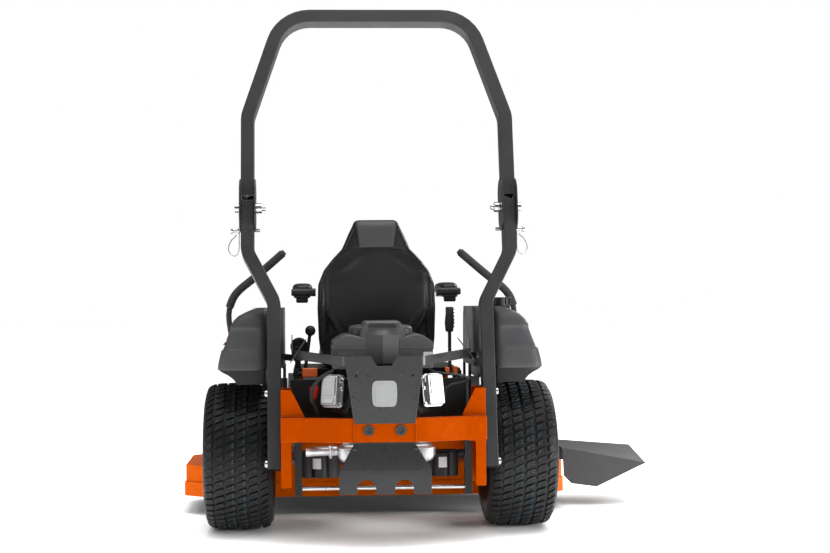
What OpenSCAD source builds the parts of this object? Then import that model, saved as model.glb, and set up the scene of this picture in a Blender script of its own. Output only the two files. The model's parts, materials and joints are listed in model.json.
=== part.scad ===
// Zero turn mower with side discharge deck, as an assembly of separate pieces.
// +X is the machine's right side, +Y is forward, +Z is up. The origin is on the
// ground, midway under the rear axle. Sizes are in millimetres, angles in degrees.

/* [Rear wheels] */
// Outside diameter of the rear tyre
tyre_d = 572; // [540:4:600]
// Width of the rear tyre
tyre_w = 262; // [220:2:270]
// Distance between the middles of the rear tyres
rear_track = 1087; // [1080:2:1160]
// Diameter of the rear rim at its bead seat
rim_d = 305; // [280:5:330]
// Radius of the drive axle
axle_r = 16; // [12:1:20]

/* [Casters] */
// Outside diameter of the caster tyre
caster_d = 330; // [280:5:340]
// Width of the caster tyre
caster_w = 165; // [130:5:170]
// Distance between the caster pivots
caster_track = 1120; // [1060:10:1240]
// Distance by which the caster axle trails its pivot
caster_trail = 60; // [40:5:80]
// Distance from the rear axle to the caster axle
wheelbase = 1290; // [1270:10:1400]
// Radius of the caster stem
stem_r = 16; // [12:1:20]

/* [Frame] */
// Distance from the middle to the outside of the frame
frame_half = 376; // [360:2:380]
// Width of a frame rail
rail_w = 60; // [50:2:70]
// Height of a frame rail
rail_h = 75; // [60:5:80]
// Height of the rails' underside
rail_z = 310; // [305:5:330]
// Wall of the rails and beams
rail_wall = 5; // [3:0.5:8]
// Height of the rear plates' lower edge
plate_low = 208; // [180:4:240]
// Height of the rear plates' upper edge
plate_top = 567; // [520:5:600]
// Thickness of the frame's plates
plate_t = 6; // [4:1:10]
// Height of the front beam's underside
beam_z = 352; // [350:5:380]

/* [Bumper and guards] */
// Height of the bumper bar
bumper_h = 88; // [70:2:100]
// Height of the bumper's underside
bumper_z = 379; // [370:2:400]
// How far the bumper's middle lies behind the rear axle
bumper_y = 480; // [460:5:520]
// Height of the upper guard's top edge
guard_top = 690; // [660:5:700]
// Thickness of the guard's sheet
guard_t = 4; // [3:0.5:6]
// Height of the lower guard's bottom edge
skid_low = 195; // [170:5:220]

/* [Roll bar] */
// Width of the roll bar's tube seen from behind
bar_w = 50; // [40:2:60]
// Depth of the roll bar's tube
bar_depth = 70; // [50:2:80]
// Wall of the roll bar's tube
bar_wall = 4; // [3:0.5:6]
// Forward lean of the roll bar
bar_lean = 12; // [8:1:14]
// Height of the posts' lower end
foot_z = 269; // [250:5:290]
// How far the posts' lower end lies behind the rear axle
foot_y = 350; // [345:5:365]
// Distance from the middle to a post above its bend
bar_half = 501; // [480:2:520]
// Distance from the middle to the hoop's upper corner
crown_half = 366; // [330:2:400]
// Overall height of the roll bar
bar_top = 2030; // [1900:10:2100]
// Radius of the fold's pivot bolt
pivot_r = 10; // [8:1:12]
// Radius of the lock pin
lock_r = 7; // [6:0.5:9]

/* [Engine] */
// Half width of the engine's cover
cover_half = 189; // [170:2:200]
// Height of the engine cover's shoulders
cover_z = 767; // [750:2:780]
// Height of the air filter housing's top
cowl_z = 815; // [800:2:830]
// Radius of the crankshaft
crank_r = 14; // [12:1:18]

/* [Deck] */
// Half width of the deck
deck_half = 795; // [780:5:810]
// Height of the deck's lower rim
deck_low = 75; // [60:5:90]
// Height of the deck's top
deck_top = 205; // [195:5:210]
// Thickness of the deck's shell
deck_wall = 5; // [4:0.5:8]
// Length of one blade
blade_l = 510; // [480:5:520]
// Spacing of the side blades from the middle
blade_step = 508; // [500:4:520]
// Radius of a blade's shaft
shaft_r = 12.5; // [10:0.5:15]

/* [Seat] */
// Width of the seat
seat_w = 490; // [460:5:500]
// Height of the cushion's underside
cushion_z = 615; // [600:5:630]
// Thickness of the cushion
cushion_h = 95; // [80:5:110]
// Height of the seat back's top
back_top = 1222; // [1150:5:1240]

/* [Fenders] */
// Distance from the middle to a fender's inner side
fender_in = 430; // [428:2:440]
// Distance from the middle to a fender's outer side
fender_out = 624; // [610:2:660]
// Height of the fender's lower edge
fender_low = 632; // [620:4:650]
// Height of the fender's top
fender_top = 865; // [840:5:890]

/* [Hidden] */

$fn = 48;
// Running clearance of a shaft in its hole, on the radius
run = 0.05;
// Gap between faces of pieces that move past each other
slip = 0.3;

dark = [0.24, 0.25, 0.26];
orange = [0.93, 0.36, 0.04];
black = [0.1, 0.1, 0.1];
silver = [0.72, 0.73, 0.74];

// Frame places
rear_y = -400;
plate_front = -262;
plate_rim = 38;
beam_d = 75;
pivot_y = wheelbase + caster_trail;
pivot_x = caster_track / 2;
head_r = 38;
head_h = 100;
axle_z = tyre_d / 2;
wheel_x = rear_track / 2;
caster_z = caster_d / 2;
hub_x = wheel_x - tyre_w / 2 - 22;

// Roll bar places, as distances along the leaning tube from the posts' foot
post_x = frame_half + bar_w / 2;
elbow_1 = along(885);
elbow_2 = along(1075);
hinge_s = along(1247);
pin_s = along(1173);
post_end = along(1272);
hoop_end = along(1290);
shoulder_s = along(1602);
crown_s = along(bar_top) - bar_w / 2;
hoop_w = bar_w + 2 * slip;
side_t = 6;
side_half_depth = bar_depth / 2 + 2 * lock_r + 8;
lock_depth = bar_depth / 2 + lock_r + 0.5;
post_bolt_z = [291, 546];
post_bolt_r = 7;

// Engine, deck and seat places
engine_y = -250;
deck_back = 330;
deck_front = 1010;
side_blade_y = 620;
mid_blade_y = 735;
deck_rim = 60;
lever_x = 600;
lever_y = 500;
lever_z = 700;
seat_y = 150;
seat_half = 336;
pan_z = cushion_z - 34;
seat_hinge_y = 620;
seat_hinge_z = pan_z - 15;
brake_y = 60;
brake_z = 600;
top_z = 735;
neck_z = rail_z + rail_h + plate_t + 186;
fan_z = neck_z + 16;
chute_y = 650;
chute_half = 198;
chute_z = 247;
chute_x = deck_half + 5;

// Distance along the leaning tube at height z
function along(z) = (z - foot_z) / cos(bar_lean);
// Unit vector from a to b
function dir(a, b) = (b - a) / norm(b - a);
// Corner b of a path, rounded to radius r by n steps of a turn between its end radii
function corner(a, b, c, r, n) =
    let (u = dir(b, a), v = dir(b, c), half = acos(u * v) / 2,
        centre = b + (u + v) / norm(u + v) * r / sin(half),
        s = b + u * r / tan(half) - centre, e = b + v * r / tan(half) - centre,
        turn = 180 - 2 * half)
    [for (k = [0:n]) centre + (s * sin(turn * (1 - k / n)) + e * sin(turn * k / n)) / sin(turn)];
// Path p with its inner corners rounded to the radii r
function rounded(p, r, n = 5) = concat([p[0]],
    [for (i = [1:len(p) - 2]) each corner(p[i - 1], p[i], p[i + 1], r[i - 1], n)],
    [p[len(p) - 1]]);
// Path p made longer by e at both ends
function longer(p, e) = let (m = len(p) - 1)
    [for (i = [0:m]) i == 0 ? p[0] + dir(p[1], p[0]) * e
        : i == m ? p[m] + dir(p[m - 1], p[m]) * e : p[i]];
// Mitre vectors of a flat path
function mitres(p) = [for (i = [0:len(p) - 1])
    let (b = i == len(p) - 1 ? dir(p[i - 1], p[i]) : dir(p[i], p[i + 1]),
        a = i == 0 ? b : dir(p[i - 1], p[i]), na = [-a[1], a[0]], nb = [-b[1], b[0]])
    (na + nb) / (1 + na * nb)];
// Outline of a band of width w along the flat path p
function band(p, w) = let (m = mitres(p)) concat(
    [for (i = [0:len(p) - 1]) p[i] + m[i] * w / 2],
    [for (i = [len(p) - 1:-1:0]) p[i] - m[i] * w / 2]);
// Outline with half round ends, w wide, its end centres on y from y0 to y1
function slot_shape(w, y0, y1, n = 14) = concat(
    [for (k = [0:n]) [w / 2 * cos(180 * k / n), y1 + w / 2 * sin(180 * k / n)]],
    [for (k = [0:n]) [-w / 2 * cos(180 * k / n), y0 - w / 2 * sin(180 * k / n)]]);
// Rectangle x by y with corners of radius r
function round_rect(x, y, r, n = 5) = [for (q = [0:3], k = [0:n])
    let (a = 90 * (q + k / n))
    [(q == 0 || q == 3 ? 1 : -1) * (x / 2 - r) + r * cos(a),
     (q < 2 ? 1 : -1) * (y / 2 - r) + r * sin(a)]];

// The children on both sides of the machine
module both() {
    children();
    mirror([1, 0, 0]) children();
}

// The children on one side, where side is 1 for the right and -1 for the left
module on_side(side) {
    if (side > 0) children();
    else mirror([1, 0, 0]) children();
}

// The roll bar's own frame: x across, y along the leaning tube, z to its rear
module bar_frame() {
    translate([0, -foot_y, foot_z]) rotate([90 - bar_lean, 0, 0]) children();
}

// Cylinder along +X from x0 to x1
module rod_x(r, x0, x1) {
    translate([x0, 0, 0]) rotate([0, 90, 0]) cylinder(r = r, h = x1 - x0);
}

// Box from one corner to the opposite one
module block(a, b) {
    translate(a) cube(b - a);
}

// Hollow box from corner a to corner b, open along axis 0, 1 or 2
module hollow(a, b, wall, axis) {
    w = [for (i = [0:2]) i == axis ? -1 : wall];
    difference() {
        block(a, b);
        block(a + w, b - w);
    }
}

// Flat outline p in the XZ plane, t thick, its rear face at y
module upright_sheet(p, t, y) {
    translate([0, y + t, 0]) rotate([90, 0, 0]) linear_extrude(t) polygon(p);
}

// Flat outline p of (y, z) points, t thick along +X from x
module side_sheet(p, t, x) {
    translate([x, 0, 0]) rotate([90, 0, 90]) linear_extrude(t) polygon(p);
}

// Tube of radius r swept along path p, seen square to ref, with the given sides
module sweep(p, r, ref, sides = 10) {
    m = len(p) - 1;
    pts = [for (i = [0:m])
        let (t = i == 0 ? dir(p[0], p[1]) : i == m ? dir(p[m - 1], p[m]) : dir(p[i - 1], p[i + 1]),
            u = cross(t, ref) / norm(cross(t, ref)), v = cross(t, u))
        for (k = [0:sides - 1]) p[i] + r * (u * cos(360 * k / sides) + v * sin(360 * k / sides))];
    walls = [for (i = [0:m - 1], k = [0:sides - 1])
        let (j = (k + 1) % sides, a = i * sides, b = a + sides)
        each [[a + k, b + k, b + j], [a + k, b + j, a + j]]];
    caps = [[for (k = [0:sides - 1]) k], [for (k = [sides - 1:-1:0]) m * sides + k]];
    polyhedron(pts, concat(walls, caps));
}

// ---- frame ----

module frame_rails() color(orange) {
    both() {
        hollow([frame_half - rail_w, plate_front, rail_z],
            [frame_half, pivot_y - beam_d / 2, rail_z + rail_h], rail_wall, 1);
        // Rear plate: a channel open to the inside, with the gusset to the bumper
        difference() {
            block([frame_half - plate_rim, rear_y, plate_low], [frame_half, plate_front, plate_top]);
            block([frame_half - plate_rim - 1, rear_y + plate_t, plate_low - 1],
                [frame_half - plate_t, plate_front - plate_t, plate_top + 1]);
            for (z = post_bolt_z) translate([0, bolt_y(z), z]) rod_x(post_bolt_r + run, 300, 400);
        }
        upright_sheet([[frame_half - plate_rim, plate_top], [289, 470], [289, bumper_z],
            [frame_half - plate_rim, bumper_z - 8]], plate_t, rear_y);
    }
    // Brackets for the fenders, the seat pan's rest and hinge, and the brake lever
    both() {
        for (y = [60, 260]) block([frame_half - 8, y, rail_z + rail_h], [frame_half, y + 40, fender_low]);
        block([frame_half - rail_w, 190, rail_z + rail_h], [seat_half, 230, pan_z - slip]);
        difference() {
            block([300, 610, rail_z + rail_h], [seat_half, 630, seat_hinge_z + 10]);
            translate([0, seat_hinge_y, seat_hinge_z]) rod_x(8 + run, 290, 350);
        }
    }
    difference() {
        block([frame_half - rail_w, brake_y - 20, rail_z + rail_h], [frame_half - 46, brake_y + 20, brake_z + 20]);
        translate([0, brake_y, brake_z]) rod_x(10 + run, 300, 350);
    }
    difference() {
        mirror([1, 0, 0]) block([frame_half - rail_w, brake_y - 20, rail_z + rail_h],
            [frame_half - 46, brake_y + 20, brake_z + 20]);
        translate([0, brake_y, brake_z]) rod_x(10 + run, -350, -300);
    }
    // Crossmembers between the rails, and the engine's plate
    for (y = [plate_front + 100, 560, 900])
        hollow([rail_w - frame_half, y, rail_z + 8],
            [frame_half - rail_w, y + 50, rail_z + 58], rail_wall, 0);
    difference() {
        block([rail_w - frame_half - 20, rear_y + plate_t, rail_z + rail_h],
            [frame_half - rail_w + 20, plate_front + 170, rail_z + rail_h + plate_t]);
        translate([0, engine_y, rail_z]) cylinder(r = 60, h = 100);
    }
}

// Y of the post's middle at height z
function bolt_y(z) = -foot_y + (z - foot_z) * tan(bar_lean);

module front_beam() color(orange) {
    hollow([head_r - pivot_x, pivot_y - beam_d / 2, beam_z],
        [pivot_x - head_r, pivot_y + beam_d / 2, beam_z + beam_d], rail_wall, 0);
    both() translate([pivot_x, pivot_y, beam_z]) difference() {
        cylinder(r = head_r, h = head_h);
        translate([0, 0, -1]) cylinder(r = stem_r + run, h = head_h + 2);
    }
    // Brackets that carry the foot platform
    both() block([frame_half - rail_w, pivot_y - beam_d / 2, beam_z + beam_d],
        [frame_half, pivot_y + beam_d / 2, platform_z]);
}

platform_z = beam_z + beam_d + 8;
bumper_t = 32;
bumper_path = rounded([[-frame_half, rear_y - bumper_t / 2], [-300, rear_y - bumper_t / 2 - 4],
    [-150, bumper_t / 2 - bumper_y], [150, bumper_t / 2 - bumper_y],
    [300, rear_y - bumper_t / 2 - 4], [frame_half, rear_y - bumper_t / 2]], [120, 90, 90, 120]);
plug_x = 58;
plug_r = 14;

module rear_bumper() color(orange) difference() {
    translate([0, 0, bumper_z]) linear_extrude(bumper_h) polygon(band(bumper_path, bumper_t));
    translate([0, 0, bumper_z + rail_wall]) linear_extrude(bumper_h - 2 * rail_wall)
        polygon(band(longer(bumper_path, 5), bumper_t - 2 * rail_wall));
    both() translate([plug_x, -bumper_y - 1, bumper_z + bumper_h / 2]) rotate([-90, 0, 0])
        cylinder(r = plug_r, h = rail_wall + 2);
}

module bumper_plugs() color(black) {
    both() translate([plug_x, -bumper_y - 6, bumper_z + bumper_h / 2]) rotate([-90, 0, 0])
        difference() {
            union() {
                cylinder(r = plug_r + 6, h = 6);
                cylinder(r = plug_r, h = 6 + rail_wall + 3);
            }
            translate([0, 0, -1]) cylinder(r = plug_r - 4, h = 5);
        }
}

// ---- guards ----

guard_y = -bumper_y - guard_t;
wing_path = rounded([[-336, -352], [-139, -bumper_y - guard_t / 2],
    [139, -bumper_y - guard_t / 2], [336, -352]], [60, 60]);

module upper_guard() color(dark) {
    // Plate with the notch, its four small holes and its two bent flanges
    difference() {
        upright_sheet([[-110, bumper_z + bumper_h - 20], [110, bumper_z + bumper_h - 20],
            [139, guard_top - 35], [139, guard_top], [48, guard_top], [25, guard_top - 35],
            [-25, guard_top - 35], [-48, guard_top], [-139, guard_top], [-139, guard_top - 35]],
            guard_t, guard_y);
        for (x = [-102, -60, 60, 102]) translate([x, guard_y - 1, 620]) rotate([-90, 0, 0])
            cylinder(r = 4, h = guard_t + 2);
    }
    both() {
        side_sheet([[-bumper_y, bumper_z + bumper_h], [-bumper_y, guard_top - 40],
            [-bumper_y + 60, guard_top - 40], [-bumper_y + 30, bumper_z + bumper_h]],
            guard_t, 106);
        // Wing: the band that runs out and forward, with its slanted return
        difference() {
            translate([0, 0, guard_top - 35]) linear_extrude(35)
                polygon(band(wing_path, guard_t));
            block([-400, -600, 0], [139, 0, 900]);
        }
        side_sheet([[-352, guard_top - 35], [-352, guard_top], [-300, 745], [-290, 745],
            [-290, guard_top - 45]], guard_t, 333);
        block([333, -300, guard_top - 45], [frame_half, -290, guard_top - 20]);
    }
}

module lower_guard() color(dark) difference() {
    union() {
        // Slanting sheet from the bumper's underside down to the lip
        hull() {
            block([-110, -bumper_y + 20, bumper_z - guard_t], [110, -bumper_y + 60, bumper_z]);
            block([-110, -bumper_y, bumper_z - 6], [110, -bumper_y + guard_t, bumper_z]);
        }
        hull() {
            block([-110, -bumper_y, bumper_z - 8], [110, -bumper_y + guard_t, bumper_z - 4]);
            block([-166, -bumper_y - 22, 277], [166, -bumper_y - 18, 281]);
        }
        block([-166, -bumper_y - 22, skid_low], [166, -bumper_y - 18, 279]);
    }
    both() {
        translate([68, -bumper_y - 40, skid_low + 18]) rotate([-90, 0, 0]) cylinder(r = 34, h = 80);
        block([34, -bumper_y - 40, skid_low - 5], [102, -bumper_y + 40, skid_low + 18]);
    }
}

// ---- roll bar ----

post_path = rounded([[post_x, 0], [post_x, elbow_1], [bar_half, elbow_2], [bar_half, post_end]],
    [90, 90]);
hoop_path = rounded([[-bar_half, hoop_end], [-bar_half, shoulder_s], [-crown_half, crown_s],
    [crown_half, crown_s], [bar_half, shoulder_s], [bar_half, hoop_end]], [110, 150, 150, 110], 7);

// Rectangular tube w wide along a flat path in the roll bar's frame
module bar_tube(path, w) {
    difference() {
        linear_extrude(bar_depth, center = true) polygon(band(path, w));
        linear_extrude(bar_depth - 2 * bar_wall, center = true)
            polygon(band(longer(path, 5), w - 2 * bar_wall));
    }
}

module roll_bar_posts() color(dark) both() difference() {
    bar_frame() bar_tube(post_path, bar_w);
    bar_frame() translate([0, hinge_s, 0]) rod_x(pivot_r + run, bar_half - 60, bar_half + 60);
    for (z = post_bolt_z) translate([0, bolt_y(z), z]) rod_x(post_bolt_r + run, 300, 460);
}

module post_bolts() color(silver) both() {
    // Pivot bolt with its head outside, and its nut and washer inside
    bar_frame() translate([0, hinge_s, 0]) {
        rod_x(pivot_r, bar_half - 68, bar_half + 50);
        rod_x(17, bar_half + bar_w / 2 + 2 * slip + side_t, bar_half + 50);
        rod_x(20, bar_half - 54, bar_half - bar_w / 2 - 2 * slip - side_t);
    }
    for (z = post_bolt_z) translate([0, bolt_y(z), z]) {
        rod_x(post_bolt_r, frame_half - plate_t - 14, frame_half + bar_w + 12);
        rod_x(14, frame_half + bar_w, frame_half + bar_w + 10);
        rod_x(13, frame_half - plate_t - 11, frame_half - plate_t);
    }
}

plate_in = bar_half - hoop_w / 2 - side_t;
plate_out = bar_half + hoop_w / 2;

// Hoop with the hinge plates that are welded to its two ends
module roll_bar_hoop() color(dark) {
    bar_frame() bar_tube(hoop_path, hoop_w);
    both() bar_frame() for (x = [plate_in, plate_out]) hinge_plate(x);
}

module hinge_plate(x) {
    difference() {
        translate([x, 0, 0]) rotate([0, 90, 0]) linear_extrude(side_t)
            polygon(slot_shape(2 * side_half_depth, along(1157) + side_half_depth,
                along(1359) - side_half_depth));
        translate([0, hinge_s, 0]) rod_x(pivot_r + run, plate_in - 1, plate_out + side_t + 1);
        translate([0, pin_s, -lock_depth]) rod_x(lock_r + run, plate_in - 1, plate_out + side_t + 1);
    }
}

// Lock pin ahead of the post, with its collar and pull ring outside
module lock_pin(side) color(silver) on_side(side) bar_frame() translate([0, pin_s, -lock_depth]) {
    rod_x(lock_r, plate_in - 14, plate_out + side_t + 30);
    rod_x(lock_r + 6, plate_out + side_t + slip, plate_out + side_t + 8);
    rod_x(lock_r + 5, plate_out + side_t + 26, plate_out + side_t + 36);
}

// Hanging wire from the pin to the hinge plate's outer face, on the right side
wire_r = 1.6;
pin_at = [plate_out + side_t, -foot_y + pin_s * sin(bar_lean) + lock_depth * cos(bar_lean),
    foot_z + pin_s * cos(bar_lean) - lock_depth * sin(bar_lean)];
wire_path = [for (p = [[14, 0, -16], [20, -2, -26], [32, -6, -36], [42, -12, -56], [44, -18, -76],
    [36, -24, -92], [22, -28, -100], [9, -30, -94], [3, -32, -78], [2, -33, -58], [2, -34, -38],
    [2, -35, -20], [2, -36, -8]]) pin_at + p];

module pin_lanyards() color(silver) both() sweep(wire_path, wire_r, [0, 1, 0.2], 8);

// ---- wheels ----

// Tyre section: half of it as (radius, across) points, mirrored about the middle
module tyre_ring(d, w, bead_d, shoulder) rotate([0, 90, 0]) rotate_extrude($fn = 64) {
    h = w / 2;
    polygon(concat(
        [[bead_d / 2, -h * 0.72], [bead_d / 2 + 14, -h * 0.72], [bead_d / 2 + 22, -h * 0.9],
         [(bead_d + d) / 4, -h],
         [d / 2 - shoulder, -h * 0.98], [d / 2 - shoulder * 0.3, -h * 0.9], [d / 2, -h * 0.72],
         [d / 2, h * 0.72], [d / 2 - shoulder * 0.3, h * 0.9], [d / 2 - shoulder, h * 0.98],
         [(bead_d + d) / 4, h], [bead_d / 2 + 22, h * 0.9], [bead_d / 2 + 14, h * 0.72],
         [bead_d / 2, h * 0.72]],
        [[bead_d / 2, h * 0.6], [bead_d / 2 + 14, h * 0.6], [d / 2 - 22, h * 0.66],
         [d / 2 - 22, -h * 0.66], [bead_d / 2 + 14, -h * 0.6], [bead_d / 2, -h * 0.6]]));
}

module rear_tyre(side) color(black) on_side(side) translate([wheel_x, 0, axle_z])
    tyre_ring(tyre_d, tyre_w, rim_d, 46);

// Rim barrel with its dished disc, the hub, the axle and the five wheel nuts
module rear_rim(side) color([0.2, 0.2, 0.21]) on_side(side) translate([0, 0, axle_z]) {
    translate([wheel_x, 0, 0]) rotate([0, 90, 0]) rotate_extrude($fn = 64) {
        h = tyre_w * 0.36;
        r = rim_d / 2 - slip;
        polygon([[r - 5, -h - 8], [r + 12, -h - 8], [r + 12, -h - slip], [r, -h - slip], [r, h + slip],
            [r + 12, h + slip], [r + 12, h + 8], [r - 5, h + 8], [r - 5, -10], [r - 40, 6], [76, 6],
            [60, -50], [30, -50], [30, -58], [66, -58], [82, -2], [r - 42, -2], [r - 5, -18]]);
    }
    rod_x(48, hub_x, wheel_x - 58);
    rod_x(axle_r, frame_half - rail_w - 40, wheel_x - 34);
    for (k = [0:4]) rotate([72 * k, 0, 0]) translate([0, 0, 52]) rod_x(7, wheel_x - 54, wheel_x - 38);
}

// Fork with its stem, legs and axle bolt
module caster_fork(side) color(dark) on_side(side) translate([pivot_x, pivot_y, 0]) {
    top = beam_z - slip;
    leg_x = caster_w / 2 + 10;
    cylinder_at = beam_z + head_h;
    translate([0, 0, top - 14]) cylinder(r = stem_r, h = cylinder_at - top + 30);
    translate([0, 0, cylinder_at + slip]) difference() {
        cylinder(r = stem_r + 12, h = 14);
        translate([0, 0, -1]) cylinder(r = stem_r, h = 16);
    }
    block([-leg_x - 8, -44, top - 12], [leg_x + 8, 40, top]);
    both() side_sheet([[-44, top - 12], [40, top - 12], [30 - caster_trail, caster_z - 24],
        [-30 - caster_trail, caster_z - 24]], 8, leg_x);
    translate([0, -caster_trail, caster_z]) {
        rod_x(9, -leg_x - 18, leg_x + 18);
        both() rod_x(15, leg_x + 8, leg_x + 18);
    }
}

module caster_wheel(side) color(black) on_side(side)
    translate([pivot_x, wheelbase, caster_z]) {
        tyre_ring(caster_d, caster_w, 152, 26);
        rotate([0, 90, 0]) rotate_extrude() {
            h = caster_w * 0.36;
            e = caster_w / 2 + 10 - slip;
            polygon([[9 + run, -e], [24, -e], [24, -6], [66, -6],
                [66, -h], [82, -h - 2], [82, -h + 2], [76, -h + 6], [76, h - 6], [82, h - 2],
                [82, h + 2], [66, h], [66, 6], [24, 6], [24, e], [9 + run, e]]);
        }
    }

// ---- engine and drive ----

block_half = 95;
block_z = rail_z + rail_h + plate_t;

module engine_block() color([0.55, 0.56, 0.57]) {
    difference() {
        union() {
            translate([0, engine_y, block_z]) linear_extrude(150)
                polygon(round_rect(2 * block_half, 300, 40));
            translate([0, engine_y, block_z + 140]) cylinder(r = 60, h = neck_z - block_z - 140);
            // Finned cylinders, set at ninety degrees to each other
            both() translate([block_half - 30, engine_y - 30, block_z + 90]) rotate([0, 62, -28]) {
                cylinder(r = 46, h = 104);
                for (k = [0:6]) translate([-56, -56, 12 + 13 * k]) cube([112, 112, 5]);
            }
        }
        translate([0, engine_y, block_z - 60]) cylinder(r = crank_r + run, h = 320);
    }
    // Oil filter at the rear
    translate([46, engine_y - 150, block_z + 116]) rotate([90, 0, 0]) cylinder(r = 34, h = 62);
}

module valve_covers() color(silver) both()
    translate([block_half - 30, engine_y - 30, block_z + 90]) rotate([0, 62, -28])
        translate([0, 0, 104 + slip]) linear_extrude(34) polygon(round_rect(124, 84, 12));

module engine_cover() color(dark) difference() {
    union() {
        // Drum round the fan, and the shoulders above the cylinders
        translate([0, engine_y, neck_z]) cylinder(r = 110, h = 70);
        translate([0, engine_y + 40, 640]) linear_extrude(cover_z - 666)
            polygon(round_rect(2 * cover_half, 330, 46));
        translate([0, engine_y + 40, cover_z - 26]) linear_extrude(26)
            polygon(round_rect(2 * cover_half - 34, 300, 40));
        // Air filter housing, narrower towards its top
        upright_sheet([[-86, 660], [86, 660], [70, cowl_z - 12], [60, cowl_z], [-60, cowl_z],
            [-70, cowl_z - 12]], 240, engine_y - 130);
    }
    // Room for the fan, open to the crank below
    translate([0, engine_y, neck_z + 8]) cylinder(r = 104, h = 62);
    translate([0, engine_y, neck_z - 1]) cylinder(r = 30, h = 20);
}

module muffler() color(silver) {
    translate([0, -400, 337]) rotate([0, 90, 0]) difference() {
        translate([0, 0, -172]) linear_extrude(362) polygon(round_rect(74, 110, 30));
        translate([0, 0, -168]) linear_extrude(354) polygon(round_rect(68, 104, 27));
    }
    // Tail pipe with its open end and clamp
    translate([0, -400, 343]) {
        difference() {
            rod_x(17.5, -285, -172);
            rod_x(15.5, -286, -171);
        }
        difference() {
            rod_x(21, -200, -188);
            rod_x(17.5, -201, -187);
        }
    }
    // Straps that hang it from the engine's plate
    both() block([120, -420, 374], [150, -380, rail_z + rail_h]);
}

module crank_pulley() color(silver) translate([0, engine_y, 0]) {
    cylinder_low = rail_z - 56;
    translate([0, 0, cylinder_low]) cylinder(r = crank_r, h = fan_z + 30 - cylinder_low);
    for (z = [cylinder_low, cylinder_low + 30]) translate([0, 0, z]) difference() {
        rotate_extrude() polygon([[crank_r, 0], [66, 0], [56, 10], [66, 20], [crank_r, 20]]);
        translate([0, 0, -1]) cylinder(r = crank_r, h = 22);
    }
    // Cooling fan
    translate([0, 0, fan_z]) {
        difference() {
            cylinder(r = 98, h = 4);
            translate([0, 0, -1]) cylinder(r = crank_r, h = 6);
        }
        for (k = [0:11]) rotate([0, 0, 30 * k]) translate([40, -2, 4]) cube([56, 4, 38]);
    }
}

module hydro_drives() color([0.45, 0.46, 0.47]) both() {
    difference() {
        union() {
            translate([230, 0, 208]) linear_extrude(rail_z - 208 - 6)
                polygon(round_rect(150, 240, 36));
            translate([0, 0, axle_z]) rod_x(axle_r + 6, 300, frame_half - 4);
        }
        translate([0, 0, axle_z]) rod_x(axle_r + run, frame_half - rail_w - 50, frame_half);
    }
    block([180, -80, rail_z - 6], [frame_half - 10, 80, rail_z]);
    // Upright charge filter behind each drive
    translate([232, -150, 218]) cylinder(r = 33, h = 86);
    translate([232, -128, 262]) rotate([90, 0, 0]) cylinder(r = 14, h = 10);
}

module rear_straps() color(dark) {
    both() {
        side_sheet([[-372, 372], [-330, 372], [-352, 176], [-386, 176]], 26, 300);
        block([300, -372, 372], [326, -330, rail_z + rail_h]);
    }
    translate([0, -366, 202]) rod_x(8, -300, 300);
}

// ---- bodywork ----

module foot_platform() color(dark) {
    // Flat tread with the rising toe board
    toe_y = wheelbase + 40;
    side_sheet([[heel_y, platform_z], [toe_y, platform_z], [toe_y + 150, platform_z + 90],
        [toe_y + 144, platform_z + 90 + tread_t], [toe_y - 4, platform_z + tread_t],
        [heel_y, platform_z + tread_t]], 2 * platform_half, -platform_half);
    both() block([frame_half - 40, 880, rail_z + rail_h], [frame_half, 900, platform_z]);
    // Lugs of the lift pedal
    for (x = [306, 346]) difference() {
        block([x, pedal_y - 16, platform_z + 4], [x + 12, pedal_y + 16, platform_z + 46]);
        translate([0, pedal_y, platform_z + 30]) rod_x(9 + run, 290, 372);
    }
}

pedal_y = 1100;
heel_y = 730;
tread_t = 6;
platform_half = 380;

// One fender: a shell over the wheel with a domed top
module fender(side) color(dark) on_side(side) difference() {
    fender_solid(0);
    fender_solid(4);
    // Cut that lets the roll bar's post pass
    block([300, -400, 500], [frame_half + bar_w + slip, -120, 900]);
}

// The fender's outer form, drawn in by a wall for its hollow
module fender_solid(wall) {
    h = fender_top - fender_low;
    intersection() {
        upright_sheet([[fender_in - 60 + wall, fender_low - 2 * wall],
            [fender_out - wall, fender_low - 2 * wall], [fender_out - wall, fender_low + 30],
            [fender_out - 22 - wall, fender_low + 0.5 * h],
            [fender_out - 60 - wall, fender_low + 0.82 * h],
            [fender_out - 110 - wall, fender_top - wall], [fender_in - 60 + wall, fender_top - wall]],
            640, plate_front);
        side_sheet([[-250 + wall, fender_low - 3 * wall], [-232 + wall, fender_low + 0.4 * h],
            [-205 + wall, fender_low + 0.75 * h], [-160 + wall, fender_top - wall],
            [310, fender_top - wall], [352 - wall, fender_top - 90], [352 - wall, fender_low - 3 * wall]],
            fender_out, 0);
    }
}

module fender_liners() color(black) both() {
    side_sheet([[-240, 590], [-232, 590], [-196, 632], [330, 632], [344, 600], [352 - 4, 600],
        [352 - 4, 640], [-206, 640]], fender_out - fender_in - 4, fender_in);
}

module control_consoles() color(dark) {
    both() {
        difference() {
            side_sheet([[372, 560], [660, 560], [660, 700], [620, top_z], [372, top_z]], 130, 440);
            block([446, 378, 566], [564, 654, 690]);
        }
        // Ear that carries the control lever's pivot
        difference() {
            block([570, lever_y - 30, 640], [578, lever_y + 30, lever_z - 4]);
            translate([0, lever_y, lever_z - 20]) rod_x(8 + run, 560, 590);
        }
        block([frame_half - 10, 480, rail_z + rail_h], [460, 520, 560]);
    }
    // Ears of the throttle
    for (x = [520, 537]) difference() {
        block([x, 590, top_z], [x + 3, 610, top_z + 20]);
        translate([0, 600, top_z + 10]) rod_x(4 + run, 510, 550);
    }
}

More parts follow.
